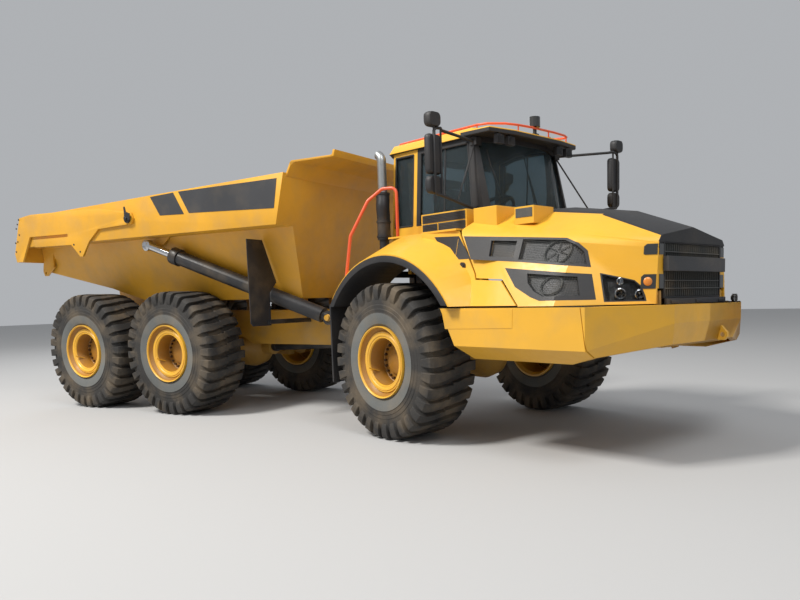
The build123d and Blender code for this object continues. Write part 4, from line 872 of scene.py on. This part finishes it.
mesh_grey = paint("mesh_grey", (0.075, 0.078, 0.075), rough=0.6, tone=0.2, dirt=0.35, grain=60)
for side_name, side in SIDES:
    spot, out = on_side(side)
    vents = bmesh.new()
    # upper intake: a plain panel, a framed pocket, and a field of wire mesh
    fields = (
        [(940, 2240), (1290, 2211.8), (1330, 1968.1), (1135, 1985)],
        [(1290, 2211.8), (1690, 2179.7), (1730, 1932.6), (1330, 1968.1)],
        [
            (1690, 2179.7), (2183, 2140), (2316, 2085), (2390, 2010), (2448, 1852), (1803, 1926),
            (1730, 1932.6),
        ],
    )
    lay(vents, [fields[0]], spot, out, 2, -18)
    for field, rim in ((fields[1], 40), (fields[2], 22)):
        lay(vents, ring_of(field, inset(field, rim)), spot, out, 2, -24)
        lay(vents, [inset(field, rim - 8)], spot, out, -52, -58, material=1)
    wires(vents, inset(fields[2], 18), spot, out, -12, 17, 1.6, 2)
    wires(vents, inset(fields[1], 36), spot, out, -22, 17, 1.6, 2)
    circle = [
        (2120 + 132 * math.cos(a), 2012 + 118 * math.sin(a)) for a in (math.tau * k / 36 for k in range(37))
    ]
    pipe(vents, [spot(*p) + out * -34 for p in circle], 9, FRONT, sides=8, material=2)
    for angle in (0.5, 1.6, 2.7, 3.8, 4.9, 6.0):
        arm = [(2120 + r * math.cos(angle), 2012 + r * 0.9 * math.sin(angle)) for r in (20, 130)]
        pipe(vents, [spot(*p) + out * -38 for p in arm], 5, FRONT, sides=6, material=2)
    # lower intake: a broad black surround and wire mesh with a round guard behind
    heart = [(1905, 1812), (2385, 1765), (2440, 1590), (2150, 1590), (2035, 1640), (1940, 1720)]
    lay(vents, ring_of(LOWER_VENT, heart), spot, out, 2, -24)
    lay(vents, [inset(heart, -8)], spot, out, -52, -58, material=1)
    wires(vents, inset(heart, -3), spot, out, -14, 17, 1.6, 2)
    circle = [
        (2180 + 105 * math.cos(a), 1692 + 84 * math.sin(a)) for a in (math.tau * k / 36 for k in range(37))
    ]
    pipe(vents, [spot(*p) + out * -34 for p in circle], 8, FRONT, sides=8, material=2)
    stands_for = ["hood_vents"] if side > 0 else []
    piece(
        f"side_intakes_{side_name}",
        vents,
        [black_plastic, dark_grey, mesh_grey],
        "hood",
        stands_for,
    )

    # headlamp: black housing set back behind a clear lens, with two round lamps
    lamp = bmesh.new()
    lay(lamp, ring_of(LAMP, inset(LAMP, 10)), spot, out, 2, -70)
    lay(lamp, [inset(LAMP, 4)], spot, out, -70, -78)
    for x, z, r in ((2668, 1598, 52), (2790, 1590, 44), (2640, 1715, 34)):
        middle = spot(x, z)
        face_way = Vector((0.75, side * 0.66, 0)).normalized()
        turn = face_way.to_track_quat("Y", "Z").to_matrix().to_4x4()
        place = FRONT @ Matrix.Translation((middle - out * 44) / 1000) @ turn
        spun(
            lamp,
            [
                (22, r), (25, r - 5), (4, r * 0.75), (-12, r * 0.4), (-16, 0.1), (-22, 0.1),
                (-22, r * 0.5), (-2, r),
            ],
            place,
            steps=28,
            material=1,
        )
        bulb = bmesh.ops.create_uvsphere(lamp, u_segments=12, v_segments=8, radius=r * 0.22 / 1000)["verts"]
        bmesh.ops.transform(lamp, matrix=place, verts=bulb)
    piece(f"lamp_unit_{side_name}", lamp, [black_plastic, chromed], "hood")
    cover = bmesh.new()
    lay(cover, [inset(LAMP, 10.5)], spot, out, 1, -3)
    piece(f"lamp_lens_{side_name}", cover, [lens], "hood", ["headlamps"] if side > 0 else [])

# ---- nose -----------------------------------------------------------------------------
# Grille of upright slats in a black frame with a grey bar across, dark glazed cheeks round
# the corners with a marker lamp in the lower one, and a second bar on the bumper's top.
GRILLE_BACK, GRILLE_FOOT, GRILLE_TOP = 2898, 1546, 2079
GRILLE_HALF, GRILLE_INNER = 559, 541
FRAME_WIDTH = GRILLE_HALF - GRILLE_INNER
SLATS, SLAT_PITCH, SLAT_HALF = 27, 40, 4
grille = bmesh.new()
slab(grille, (GRILLE_BACK, -GRILLE_HALF, GRILLE_FOOT), (GRILLE_BACK + 8, GRILLE_HALF, GRILLE_TOP), FRONT, 0)
for y0, y1, z0, z1 in (
    (-GRILLE_HALF, -GRILLE_INNER, GRILLE_FOOT, GRILLE_TOP),
    (GRILLE_INNER, GRILLE_HALF, GRILLE_FOOT, GRILLE_TOP),
    (-GRILLE_INNER, GRILLE_INNER, GRILLE_FOOT, GRILLE_FOOT + FRAME_WIDTH),
    (-GRILLE_INNER, GRILLE_INNER, GRILLE_TOP - FRAME_WIDTH, GRILLE_TOP),
):
    slab(grille, (GRILLE_BACK, y0, z0), (GRILLE_BACK + 38, y1, z1), FRONT, 0)
for k in range(SLATS):
    y = (k - SLATS // 2) * SLAT_PITCH
    low, high = GRILLE_FOOT + FRAME_WIDTH + 1, GRILLE_TOP - FRAME_WIDTH - 1
    slab(grille, (GRILLE_BACK + 9, y - SLAT_HALF, low), (GRILLE_BACK + 33, y + SLAT_HALF, high), FRONT, 1)
for z in (1640, 1715, 1980):
    reach = GRILLE_INNER - 1
    slab(grille, (GRILLE_BACK + 9, -reach, z - 5), (GRILLE_BACK + 36, reach, z + 5), FRONT, 1)
bar = [(2937, -575), (2990, -562), (3000, -420), (3000, 420), (2990, 562), (2937, 575)]
faces = []
for z in (1800, 1938):
    faces.append([grille.verts.new(FRONT @ Vector((x / 1000, y / 1000, z / 1000))) for x, y in bar])
for i in range(len(bar)):
    j = (i + 1) % len(bar)
    grille.faces.new((faces[0][i], faces[0][j], faces[1][j], faces[1][i])).material_index = 2
for loop in faces:
    grille.faces.new(loop).material_index = 2
piece(
    "nose_grille",
    grille,
    [black_plastic, mesh_grey, dark_grey],
    "hood",
    ["hood_grille"],
    bevel=0.003,
)

cheek_glass = paint("cheek_glass", (0.018, 0.020, 0.020), rough=0.12, tone=0.1, coat=0.8, bump=0.0)
amber = paint("amber", (0.75, 0.25, 0.02), rough=0.2, tone=0.1, coat=0.8, bump=0.0)
for side_name, side in SIDES:
    spot, out = on_side(side)
    cheek = bmesh.new()
    for low, high, rear in ((1952, 2050, 2822), (1640, 1772, 2812)):
        pane = [
            (rear, low + 6), (rear + 12, low), (2925, low), (2925, high), (rear + 22, high), (rear, high - 22)
        ]
        lay(cheek, [pane], spot, out, 5, -6)
        slab(cheek, (2925, side * 562, low), (2936, side * 636, high), FRONT)
    piece(f"cheek_{side_name}", cheek, [cheek_glass], "hood")
    marker = bmesh.new()
    middle = spot(2862, 1706)
    turn = Vector((0.6, side * 0.8, 0)).to_track_quat("Y", "Z").to_matrix().to_4x4()
    spun(
        marker,
        [(-8, 0.1), (-8, 40), (10, 40), (16, 34), (20, 18), (21, 0.1)],
        FRONT @ Matrix.Translation(middle / 1000) @ turn,
        steps=28,
    )
    piece(f"marker_lamp_{side_name}", marker, [amber], "hood")

sill = bmesh.new()
slab(sill, (2950, -575, STAND), (2994, 575, GRILLE_FOOT), FRONT)
for y in (-470, 0, 470):
    slab(sill, (2994, y - 60, 1500), (3004, y + 60, 1532), FRONT)
piece("nose_sill", sill, [dark_grey], "front_unit", bevel=0.012)

# a round caged lamp stands on the bumper's far corner
caged = bmesh.new()
place = FRONT @ Matrix.Translation((3.078, 0.60, 1.532)) @ Matrix.Scale(0.72, 4)
spun(
    caged,
    [(-46, 0.1), (-46, 30), (-30, 50), (0, 58), (14, 58), (14, 50), (6, 46), (6, 0.1)],
    place @ Matrix.Rotation(-math.pi / 2, 4, "Z"),
    steps=32,
)
slab(caged, (3050, 570, STAND), (3095, 630, STAND + 5), FRONT)
hoop = [(-30, -56), (24, -54), (34, 0), (24, 54), (-30, 56)]
for y in (-24, 24):
    pipe(caged, [(x, y, rise) for x, rise in hoop], 3.5, place, sides=6)
for z in (-24, 24):
    pipe(caged, [(x, reach, z) for x, reach in hoop], 3.5, place, sides=6)
piece("caged_lamp", caged, [black_steel], "front_unit")
glow = bmesh.new()
spun(
    glow,
    [(7, 0.1), (7, 45), (15, 42), (18, 20), (19, 0.1)],
    place @ Matrix.Rotation(-math.pi / 2, 4, "Z"),
    steps=28,
)
piece("caged_lamp_lens", glow, [lens], "front_unit")

# ---- dump body ------------------------------------------------------------------------
# Blank dark plates on the body's side band, and a load space whose paint is scoured down to dull steel and
# dust, its brown made darker as painted shade.
# dark brown for the load space: scouring and dust, and painted shade on the inner walls
load_space_wear_and_shade = paint("scoured_and_shaded_steel", (0.30, 0.19, 0.07), rough=0.55, tone=0.35, dirt=0.6, grain=9, bump=0.15)
body_node = frame["nodes"]["dump_body"]
body_node.data.materials.append(load_space_wear_and_shade)
to_rear = REAR.inverted()
# inner side walls, load floor and front wall take the dark brown of wear and painted shade
for polygon in body_node.data.polygons:
    middle = to_rear @ polygon.center * 1000
    way = polygon.normal
    side_wall = way.y * middle.y < 0 and abs(way.y) > 0.3
    load_floor = way.z > 0.5 and middle.z < 2500
    front_wall = way.x < -0.4 and 2300 < middle.x < 3340
    if middle.z > 1650 and (abs(middle.y) < 1600 and (side_wall or load_floor) or front_wall):
        polygon.material_index = 1
BAND_HALF = 1649.5
plates = (
    [(852, 3100), (1335, 3119), (1526, 2816), (1034, 2832)],
    [(1437, 3123), (3250, 3127), (3180, 2767), (1626, 2822)],
)
for side_name, side in SIDES:
    plate = bmesh.new()
    for outline in plates:
        sheets = [
            [plate.verts.new(REAR @ Vector((x / 1000, side * y / 1000, z / 1000))) for x, z in outline]
            for y in (BAND_HALF, BAND_HALF + 4)
        ]
        for sheet in sheets:
            plate.faces.new(sheet)
        bridge(plate, *sheets)
    piece(f"blank_plates_{side_name}", plate, [dark_grey], "dump_body")

# ---- hood shoulder and deck boxes -----------------------------------------------------
# A sheet-steel case with dark louvred doors stands on the deck beside the cab, and two boxes
# on each shoulder of the hood: a plain one, and one with a mesh face. A rubber strip closes
# the gap between the skirt's top and the fender.
case = bmesh.new()
slab(case, (20, -1000, DECK["right"] + 1), (780, -875, 2560), FRONT, 0)
for x0, x1, z0, z1 in ((45, 760, 2455, 2545), (45, 300, 2345, 2442), (318, 760, 2345, 2442)):
    slab(case, (x0, -1006, z0), (x1, -1000, z1), FRONT, 1)
    for z in range(z0 + 14, z1 - 8, 16):
        slab(case, (x0 + 8, -1011, z), (x1 - 8, -1006, z + 5), FRONT, 1)
seal = bmesh.new()
for side in (-1, 1):
    slab(seal, (1100, side * 1060, STAND), (1890, side * 1395, STAND + 17), FRONT)
    slab(seal, (1890, side * 1060, STAND), (2640, side * 1380, STAND + 5), FRONT)
piece("sill_seal", seal, [black_plastic], "front_unit")
piece("deck_case", case, [yellow, dark_grey], "front_unit", bevel=0.004)
for side_name, side in SIDES:
    for name, x, reach, top, facing in (
        ("filter_box", (884, 1230), 1000, 2549, 0), ("mesh_box", (1440, 1700), 955, 2505, 1)
    ):
        box = bmesh.new()
        slab(box, (x[0], side * 640, 2330), (x[1], side * reach, top), FRONT, 0)
        if facing:
            slab(box, (x[0] + 18, side * reach, 2395), (x[1] - 18, side * (reach + 5), top - 18), FRONT, 1)
        piece(f"{name}_{side_name}", box, [yellow, mesh_grey], "hood", bevel=0.008)

# ---- cab ------------------------------------------------------------------------------
# Steel cab with yellow lower panels, rear posts and roof. The door's frame, the front
# posts, the visor's underside and everything inside are black, and the glazing is tinted.


def copied(name, cuts):
    """A CAD piece's mesh, merged, with edges added along planes given in the front unit's millimetres."""
    mesh = bmesh.new()
    mesh.from_mesh(frame["nodes"][name].data)
    bmesh.ops.remove_doubles(mesh, verts=mesh.verts, dist=0.00005)
    bmesh.ops.dissolve_limit(mesh, angle_limit=math.radians(1), verts=mesh.verts, edges=mesh.edges)
    for point, normal in cuts:
        whole = mesh.verts[:] + mesh.edges[:] + mesh.faces[:]
        bmesh.ops.bisect_plane(
            mesh,
            geom=whole,
            plane_co=FRONT @ (Vector(point) / 1000),
            plane_no=FRONT.to_3x3() @ Vector(normal),
        )
    return mesh


SILL, FLOOR, WINDOW_TOP = 2480, 1990, 3330


def cab_wall(x, z):
    """Half width of the cab, which narrows upwards and forwards."""
    return 860 - (z - FLOOR) * 85 / 1395 - (x + 900) * 0.0385


for name, body in (("cab_shell", "front_unit"), ("cab_door", "cab_door")):
    shell = copied(name, [((0, 0, SILL - 12), (0, 0, 1)), ((-292, 0, 0), (1, 0, 0))])
    for face in shell.faces:
        middle = to_front @ face.calc_center_median() * 1000
        within = abs(middle.y) < cab_wall(middle.x, middle.z) - 14
        inner = within and middle.x > -885 and (middle.x < 760 or middle.z > SILL)
        if inner or middle.z > SILL - 12 and (middle.x > -292 or name == "cab_door"):
            face.material_index = 1
    piece(f"{name}_panels", shell, [yellow, black_plastic], body, [name], bevel=0.005)
roof = copied("cab_roof", [((520, 0, 0), (1, 0, 0)), ((0, 0, 3430), (0, 0, 1))])
for face in roof.faces:
    middle = to_front @ face.calc_center_median() * 1000
    if face.normal.z < -0.5 or middle.x > 520 and middle.z < 3430:
        face.material_index = 1
piece("roof_panel", roof, [yellow, black_plastic], "front_unit", ["cab_roof"], bevel=0.012)
rubbers = bmesh.new()
door_rubber = bmesh.new()
for side in (-1, 1):
    for window, lean in (((-685, -360), 0), ((-235, 545), 105)):
        rear, ahead = window
        corners = [(rear, SILL), (rear, WINDOW_TOP), (ahead, WINDOW_TOP), (ahead + lean, SILL)]
        line = [(x, side * (cab_wall(x, z) + 2), z) for x, z in corners]
        target = door_rubber if side > 0 and lean else rubbers
        for start, end in zip(line, line[1:] + line[:1]):
            pipe(target, [start, end], 13, FRONT, sides=8)
        if lean:
            post = [(170, side * (cab_wall(170, z) - 14), z) for z in (SILL, WINDOW_TOP)]
            pipe(target, post, 12, FRONT, sides=8)
piece("window_rubbers", rubbers, [black_plastic], "front_unit")
piece("door_rubber", door_rubber, [black_plastic], "cab_door")

# ---- operator's seat ------------------------------------------------------------------
# Suspension seat: a foam cushion and a tall back with side bolsters, covered in dark woven
# cloth, with an arm rest each side, on a black pedestal with a bellows.


def pad(name, low, high, lift, along):
    """Crowned cushion between two corners, raised in the middle of its free face."""
    mesh = bmesh.new()
    bmesh.ops.create_cube(mesh, size=2)
    bmesh.ops.subdivide_edges(mesh, edges=mesh.edges[:], cuts=11, use_grid_fill=True)
    for vert in mesh.verts:
        p = vert.co.copy()
        for axis in range(3):
            others = [p[k] for k in range(3) if k != axis]
            vert.co[axis] = p[axis] * (1 - 0.07 * (others[0] ** 4 + others[1] ** 4) / 2)
        u, v = [p[k] for k in range(3) if k != along]
        crown = (1 - u**4) * (1 - v**4)
        groove = 0.35 * math.exp(-((abs(v) - 0.62) / 0.05) ** 2) * (1 - u**4)
        if p[along] > 0.5:
            vert.co[along] += lift * (crown - groove)
    size = [(b - a) / 2 for a, b in zip(low, high)]
    middle = [(a + b) / 2 for a, b in zip(low, high)]
    millimetres = FRONT @ Matrix.Diagonal((0.001, 0.001, 0.001, 1))
    place = millimetres @ Matrix.Translation(middle) @ Matrix.Diagonal((*size, 1))
    bmesh.ops.transform(mesh, matrix=place, verts=mesh.verts)
    made = piece(name, mesh, [woven], "front_unit", ["operator_seat"] if along == 2 else [])
    made.data.shade_smooth()


pad("seat_cushion", (-500, -255, 2420), (5, 255, 2520), 0.25, 2)
pad("seat_back", (-590, -245, 2530), (-500, 245, 3010), 0.3, 0)
pad("seat_headrest", (-590, -130, 3030), (-520, 130, 3118), 0.2, 0)
pedestal = bmesh.new()
slab(pedestal, (-440, -190, 2034), (-80, 190, 2070), FRONT)
for k in range(6):
    fold, foot = 12 * (k % 2), 2070 + 55 * k
    slab(pedestal, (-420 + fold, -170 + fold, foot), (-100 - fold, 170 - fold, foot + 55), FRONT)
slab(pedestal, (-480, -230, 2400), (-20, 230, 2419), FRONT)
slab(pedestal, (-598, -60, 2419), (-592, 60, 3060), FRONT)
for side in (-1, 1):
    slab(pedestal, (-560, side * 290 - 30, 2640), (-180, side * 290 + 30, 2690), FRONT)
    slab(pedestal, (-596, side * 262 - 12, 2600), (-540, side * 262 + 12, 2690), FRONT)
piece("seat_pedestal", pedestal, [black_plastic], "front_unit", bevel=0.006)

# ---- mirrors and wipers ---------------------------------------------------------------
# Tubular arms reach out from the cab's front corners and end in an upright loop. Moulded
# housings clamp to the loop, with silvered glass facing back. Two wipers lie on the screen.
silvered = paint("mirror_glass", (0.75, 0.78, 0.80), rough=0.04, metal=1.0, tone=0.03, bump=0.0)


def housing(mesh, centre, width, height, depth, corner):
    """Moulded mirror housing facing back, its front edges drawn in, with a pane let into its rear face."""
    cx, cy, cz = centre
    outline = []
    for sy, sz, start in ((1, 1, 0), (-1, 1, 1), (-1, -1, 2), (1, -1, 3)):
        for k in range(5):
            angle = (start + k / 4) * math.pi / 2
            y = sy * (width / 2 - corner) + corner * math.cos(angle)
            outline.append((y, sz * (height / 2 - corner) + corner * math.sin(angle)))

    def loop(x, wide, tall):
        points = [((cx + x) / 1000, (cy + y * wide) / 1000, (cz + z * tall) / 1000) for y, z in outline]
        return [mesh.verts.new(FRONT @ Vector(point)) for point in points]

    back, front = -depth / 2, depth / 2
    rows = ((back, 0.96), (back + 8, 1.0), (depth * 0.1, 1.0), (front - 6, 0.88), (front, 0.80))
    rings = [loop(x, scale, 1 - (1 - scale) * 0.4) for x, scale in rows]
    for near, far in zip(rings, rings[1:]):
        bridge(mesh, near, far)
    mesh.faces.new(rings[-1])
    lip, pane = loop(back, 0.88, 0.95), loop(back + 5, 0.86, 0.94)
    bridge(mesh, rings[0], lip)
    bridge(mesh, lip, pane)
    mesh.faces.new(pane).material_index = 1


arms = bmesh.new()
for side, x, y in ((1, 1060, 1440), (-1, 600, 1300)):
    tube, inner = x + 20, side * (y - 95)
    foot = (700, side * 780, 2575)
    loop = [(tube, inner, 3405), (tube, side * (y - 30), 3400), (tube, side * y, 3370)]
    loop += [(tube, side * y, 2735), (tube, side * (y - 30), 2705), (tube, inner, 2700)]
    pipe(arms, [(640, side * 700, 3330), (x - 20, side * (y - 150), 3395), *loop, foot], 16, FRONT, sides=12)
    brace = Vector((tube, inner, 2700)).lerp(Vector(foot), 0.45)
    pipe(arms, [(645, side * 714, 3322), brace], 10, FRONT, sides=8)
    pipe(arms, [(tube, inner, 3402), (tube, inner, 2702)], 12, FRONT, sides=10)
    slab(arms, (590, side * 655, 3290), (690, side * 740, 3372), FRONT)
    slab(arms, (670, side * 735, 2545), (730, side * 790, 2605), FRONT)
    housing(arms, (x - 20, side * (y - 20), 3130), 200, 420, 70, 45)
    housing(arms, (x - 20, side * (y - 20), 2810), 200, 190, 70, 60)
    housing(arms, (x + 10, side * (y + 5), 3485), 180, 150, 90, 50)
    pipe(arms, [(tube, side * y, 3372), (tube, side * y, 3430)], 14, FRONT, sides=10)
piece("mirror_arms", arms, [black_plastic, silvered], "front_unit", ["mirrors"])
wipers = bmesh.new()


def screen(y, z, off):
    """A point a little way off the windscreen."""
    return (830 - (z - SILL) * 0.17 + off, y, z)


BLADE = 300
for foot, tip in (((-420, SILL + 20), (-560, 3020)), ((180, SILL + 20), (60, 3020))):
    knee = foot[0] + (tip[0] - foot[0]) * 0.2
    pipe(wipers, [screen(*foot, 20), screen(knee, SILL + 120, 40), screen(*tip, 26)], 9, FRONT, sides=8)
    ends = (tip[0] + 60, tip[1] - BLADE), (tip[0] - 40, tip[1] + BLADE * 0.75)
    pipe(wipers, [screen(*end, 16) for end in ends], 8, FRONT, sides=6)
    pipe(wipers, [screen(*foot, -12), screen(*foot, 34)], 22, FRONT, sides=12)
piece("wipers", wipers, [black_plastic], "front_unit")

# ---- exhaust and roof lamps -----------------------------------------------------------
# Black muffler and elbow behind the cab with clamp bands, then a galvanised stack that
# bends back at its open top. Work lamps hang under the visor and a beacon stands on it.
galvanised = paint(
    "galvanised", (0.42, 0.43, 0.43), rough=0.38, metal=0.85, tone=0.12, dirt=0.12, grain=60, bump=0.04
)
stack = bmesh.new()
STACK = (-740, -965)
# radii of the pipe, the muffler, its clamp bands, the galvanised stack and the stack's bend
PIPE, MUFFLER, BAND, TAILPIPE, BEND_RADIUS = 60, 82, 90, 56, 90
pipe(stack, [(*STACK, 1880), (*STACK, 2331)], PIPE, FRONT, sides=24)
elbow = [(*STACK, 2332), (*STACK, 2350), (*STACK, 2560), (-735, -970, 2640), (-722, -985, 2700)]
elbow += [(-722, -985, 2760), (-736, -968, 2820), (*STACK, 2900)]
pipe(stack, elbow, MUFFLER, FRONT, sides=28)
for z in (2360, 2540, 2880):
    pipe(stack, [(*STACK, z), (*STACK, z + 26)], BAND, FRONT, sides=28)
slab(stack, (-890, -1010, 1870), (-790, -340, 1950), FRONT)
slab(stack, (-791, -1010, 1870), (-690, -910, 1950), FRONT)
slab(stack, (-890, -460, 1471), (-790, -340, 1871), FRONT)
bend = [
    (STACK[0] - BEND_RADIUS * (1 - math.cos(a)), STACK[1], 3285 + BEND_RADIUS * math.sin(a))
    for a in [k * math.pi / 20 for k in range(9)]
]
pipe(stack, [(*STACK, 2895), *bend], TAILPIPE, FRONT, sides=28, material=1)
mouth = Vector(bend[-1])
way = (mouth - Vector(bend[-2])).normalized()
pipe(stack, [mouth, mouth + way * 3], TAILPIPE - 6, FRONT, sides=28, material=0)
piece("exhaust_stack", stack, [black_steel, galvanised], "front_unit", ["exhaust"])
lamp_case = bmesh.new()
for side in (-1, 1):
    for y in (430, 610):
        slab(lamp_case, (890, side * y - 58, 3275), (945, side * y + 58, 3372), FRONT)
        slab(lamp_case, (945, side * y - 50, 3283), (949, side * y + 50, 3364), FRONT, 1)
        slab(lamp_case, (905, side * y - 16, 3370), (935, side * y + 16, 3386), FRONT)
slab(lamp_case, (905, -60, 3445), (965, 20, 3462), FRONT)
BEACON = (935, -20)
pipe(lamp_case, [(*BEACON, 3462), (*BEACON, 3535)], 22, FRONT, sides=20)
pipe(lamp_case, [(*BEACON, z) for z in (3535, 3548, 3632, 3648)], 64, FRONT, sides=28, material=2)
piece(
    "roof_lamps",
    lamp_case,
    [black_plastic, lens, cheek_glass],
    "front_unit",
    ["roof_lights"],
    bevel=0.006,
)

# ---- roof rail ------------------------------------------------------------------------
# Red steel tube bent round the roof's edge and carried forward over the visor. It stands
# on short posts with round feet, welded to the roof and the visor.
rail = bmesh.new()
run = [(-820, -610, 3491), (-820, -610, 3522), (-795, -610, 3545), (560, -590, 3545), (700, -560, 3540)]
run += [(860, -440, 3528), (930, -300, 3520), (958, -100, 3518), (960, 300, 3518), (945, 520, 3516)]
run += [
    (905, 610, 3516), (840, 640, 3518), (560, 600, 3540), (-795, 610, 3545), (-820, 610, 3522),
    (-820, 610, 3491),
]
pipe(rail, run, 13, FRONT, sides=12)
# the posts' places on the visor and on the roof
ON_VISOR, ON_ROOF = 3444, 3489
posts = [(560, -590, ON_ROOF), (930, -300, ON_VISOR), (958, 200, ON_VISOR), (905, 600, ON_VISOR)]
posts += [(560, 600, ON_ROOF), (-200, -600, ON_ROOF), (-200, 605, ON_ROOF)]
for x, y, foot in posts:
    pipe(rail, [(x, y, foot), (x, y, 3530 if foot == ON_ROOF else 3512)], 9, FRONT, sides=10)
    pipe(rail, [(x, y, foot), (x, y, foot + 6)], 24, FRONT, sides=14)
piece("roof_rail_tube", rail, [signal_red], "front_unit", ["roof_rail"])

# ---- fender fittings ------------------------------------------------------------------
# Blank dark panel let into the fender ahead of the upper intake, and the fuel filler's cap.
for side_name, side in SIDES:
    trim = bmesh.new()
    skin = BVHTree.FromBMesh(skin_solid(side, placing=Matrix.Identity(4)))

    def spot(x, z, skin=skin, side=side):
        return skin.ray_cast(Vector((x / 1000, side * 2.5, z / 1000)), Vector((0, -side, 0)))[0] * 1000

    out = Vector((0, side, 0))
    lay(
        trim,
        [[(500, 2262), (872, 2246), (1084, 1998), (760, 1998), (690, 2050)]],
        spot,
        out,
        3.0,
        -4.0,
        0,
        60,
    )
    centre = spot(990, 1920)
    pipe(trim, [centre - out * 10, centre + out * 12], 44, FRONT, sides=24)
    pipe(trim, [centre + out * 12, centre + out * 22], 30, FRONT, sides=24)
    piece(f"fender_trim_{side_name}", trim, [black_plastic], "front_unit")

# ---- gate and skirt fittings ----------------------------------------------------------
# Bolt heads round the gate's rear corners, a pale blank label on the body behind each arm,
# a clamp lever on each arm's pin, and a pressed step line along each skirt.
bolt_places = [(-2345, 3005), (-2390, 2935), (-2430, 2868), (-2360, 2766), (-2420, 2658)]
bolt_places += [(-2480, 2641), (-2488, 2500), (-788, 2420), (-933, 2534)]
pale_label = paint("pale_label", (0.55, 0.55, 0.53), rough=0.4, tone=0.15, dirt=0.3, grain=60, bump=0.02)
for side_name, side in SIDES:
    bolts = bmesh.new()
    for x, z in bolt_places:
        pipe(bolts, [(x, side * 1683, z), (x, side * 1693, z)], 15, REAR, sides=6)
    piece(f"gate_bolts_{side_name}", bolts, [black_steel], "tailgate", bevel=0.002)
    lever = bmesh.new()
    pipe(lever, [(386, side * 1686, 2830), (386, side * 1712, 2830)], 62, REAR, sides=28)
    lower = [(346, 2800), (470, 2806), (478, 2900), (400, 2915), (376, 3000), (350, 2996), (356, 2890)]
    plate = hull_through([[(x, side * y, z) for x, z in lower] for y in (1712, 1724)], REAR)
    join(lever, plate)
    pipe(lever, [(386, side * 1724, 2830), (386, side * 1740, 2830)], 30, REAR, sides=6)
    piece(f"gate_lever_{side_name}", lever, [black_steel], "dump_body", bevel=0.003)
    label = bmesh.new()
    slab(label, (-1830, side * BAND_HALF, 2545), (-1590, side * (BAND_HALF + 3), 2655), REAR)
    piece(f"blank_label_{side_name}", label, [pale_label], "dump_body")
    pressed = ((975, 1276), (1895, 1296), (1905, 1479), (930, 1466))
    step = hull_through(
        [[(x, side * (1540 - (x - 905) * 40 / 1820 + off), z) for x, z in pressed] for off in (-6, 3.5)]
    )
    piece(f"skirt_step_{side_name}", step, [lower_yellow], "front_unit", bevel=0.002)
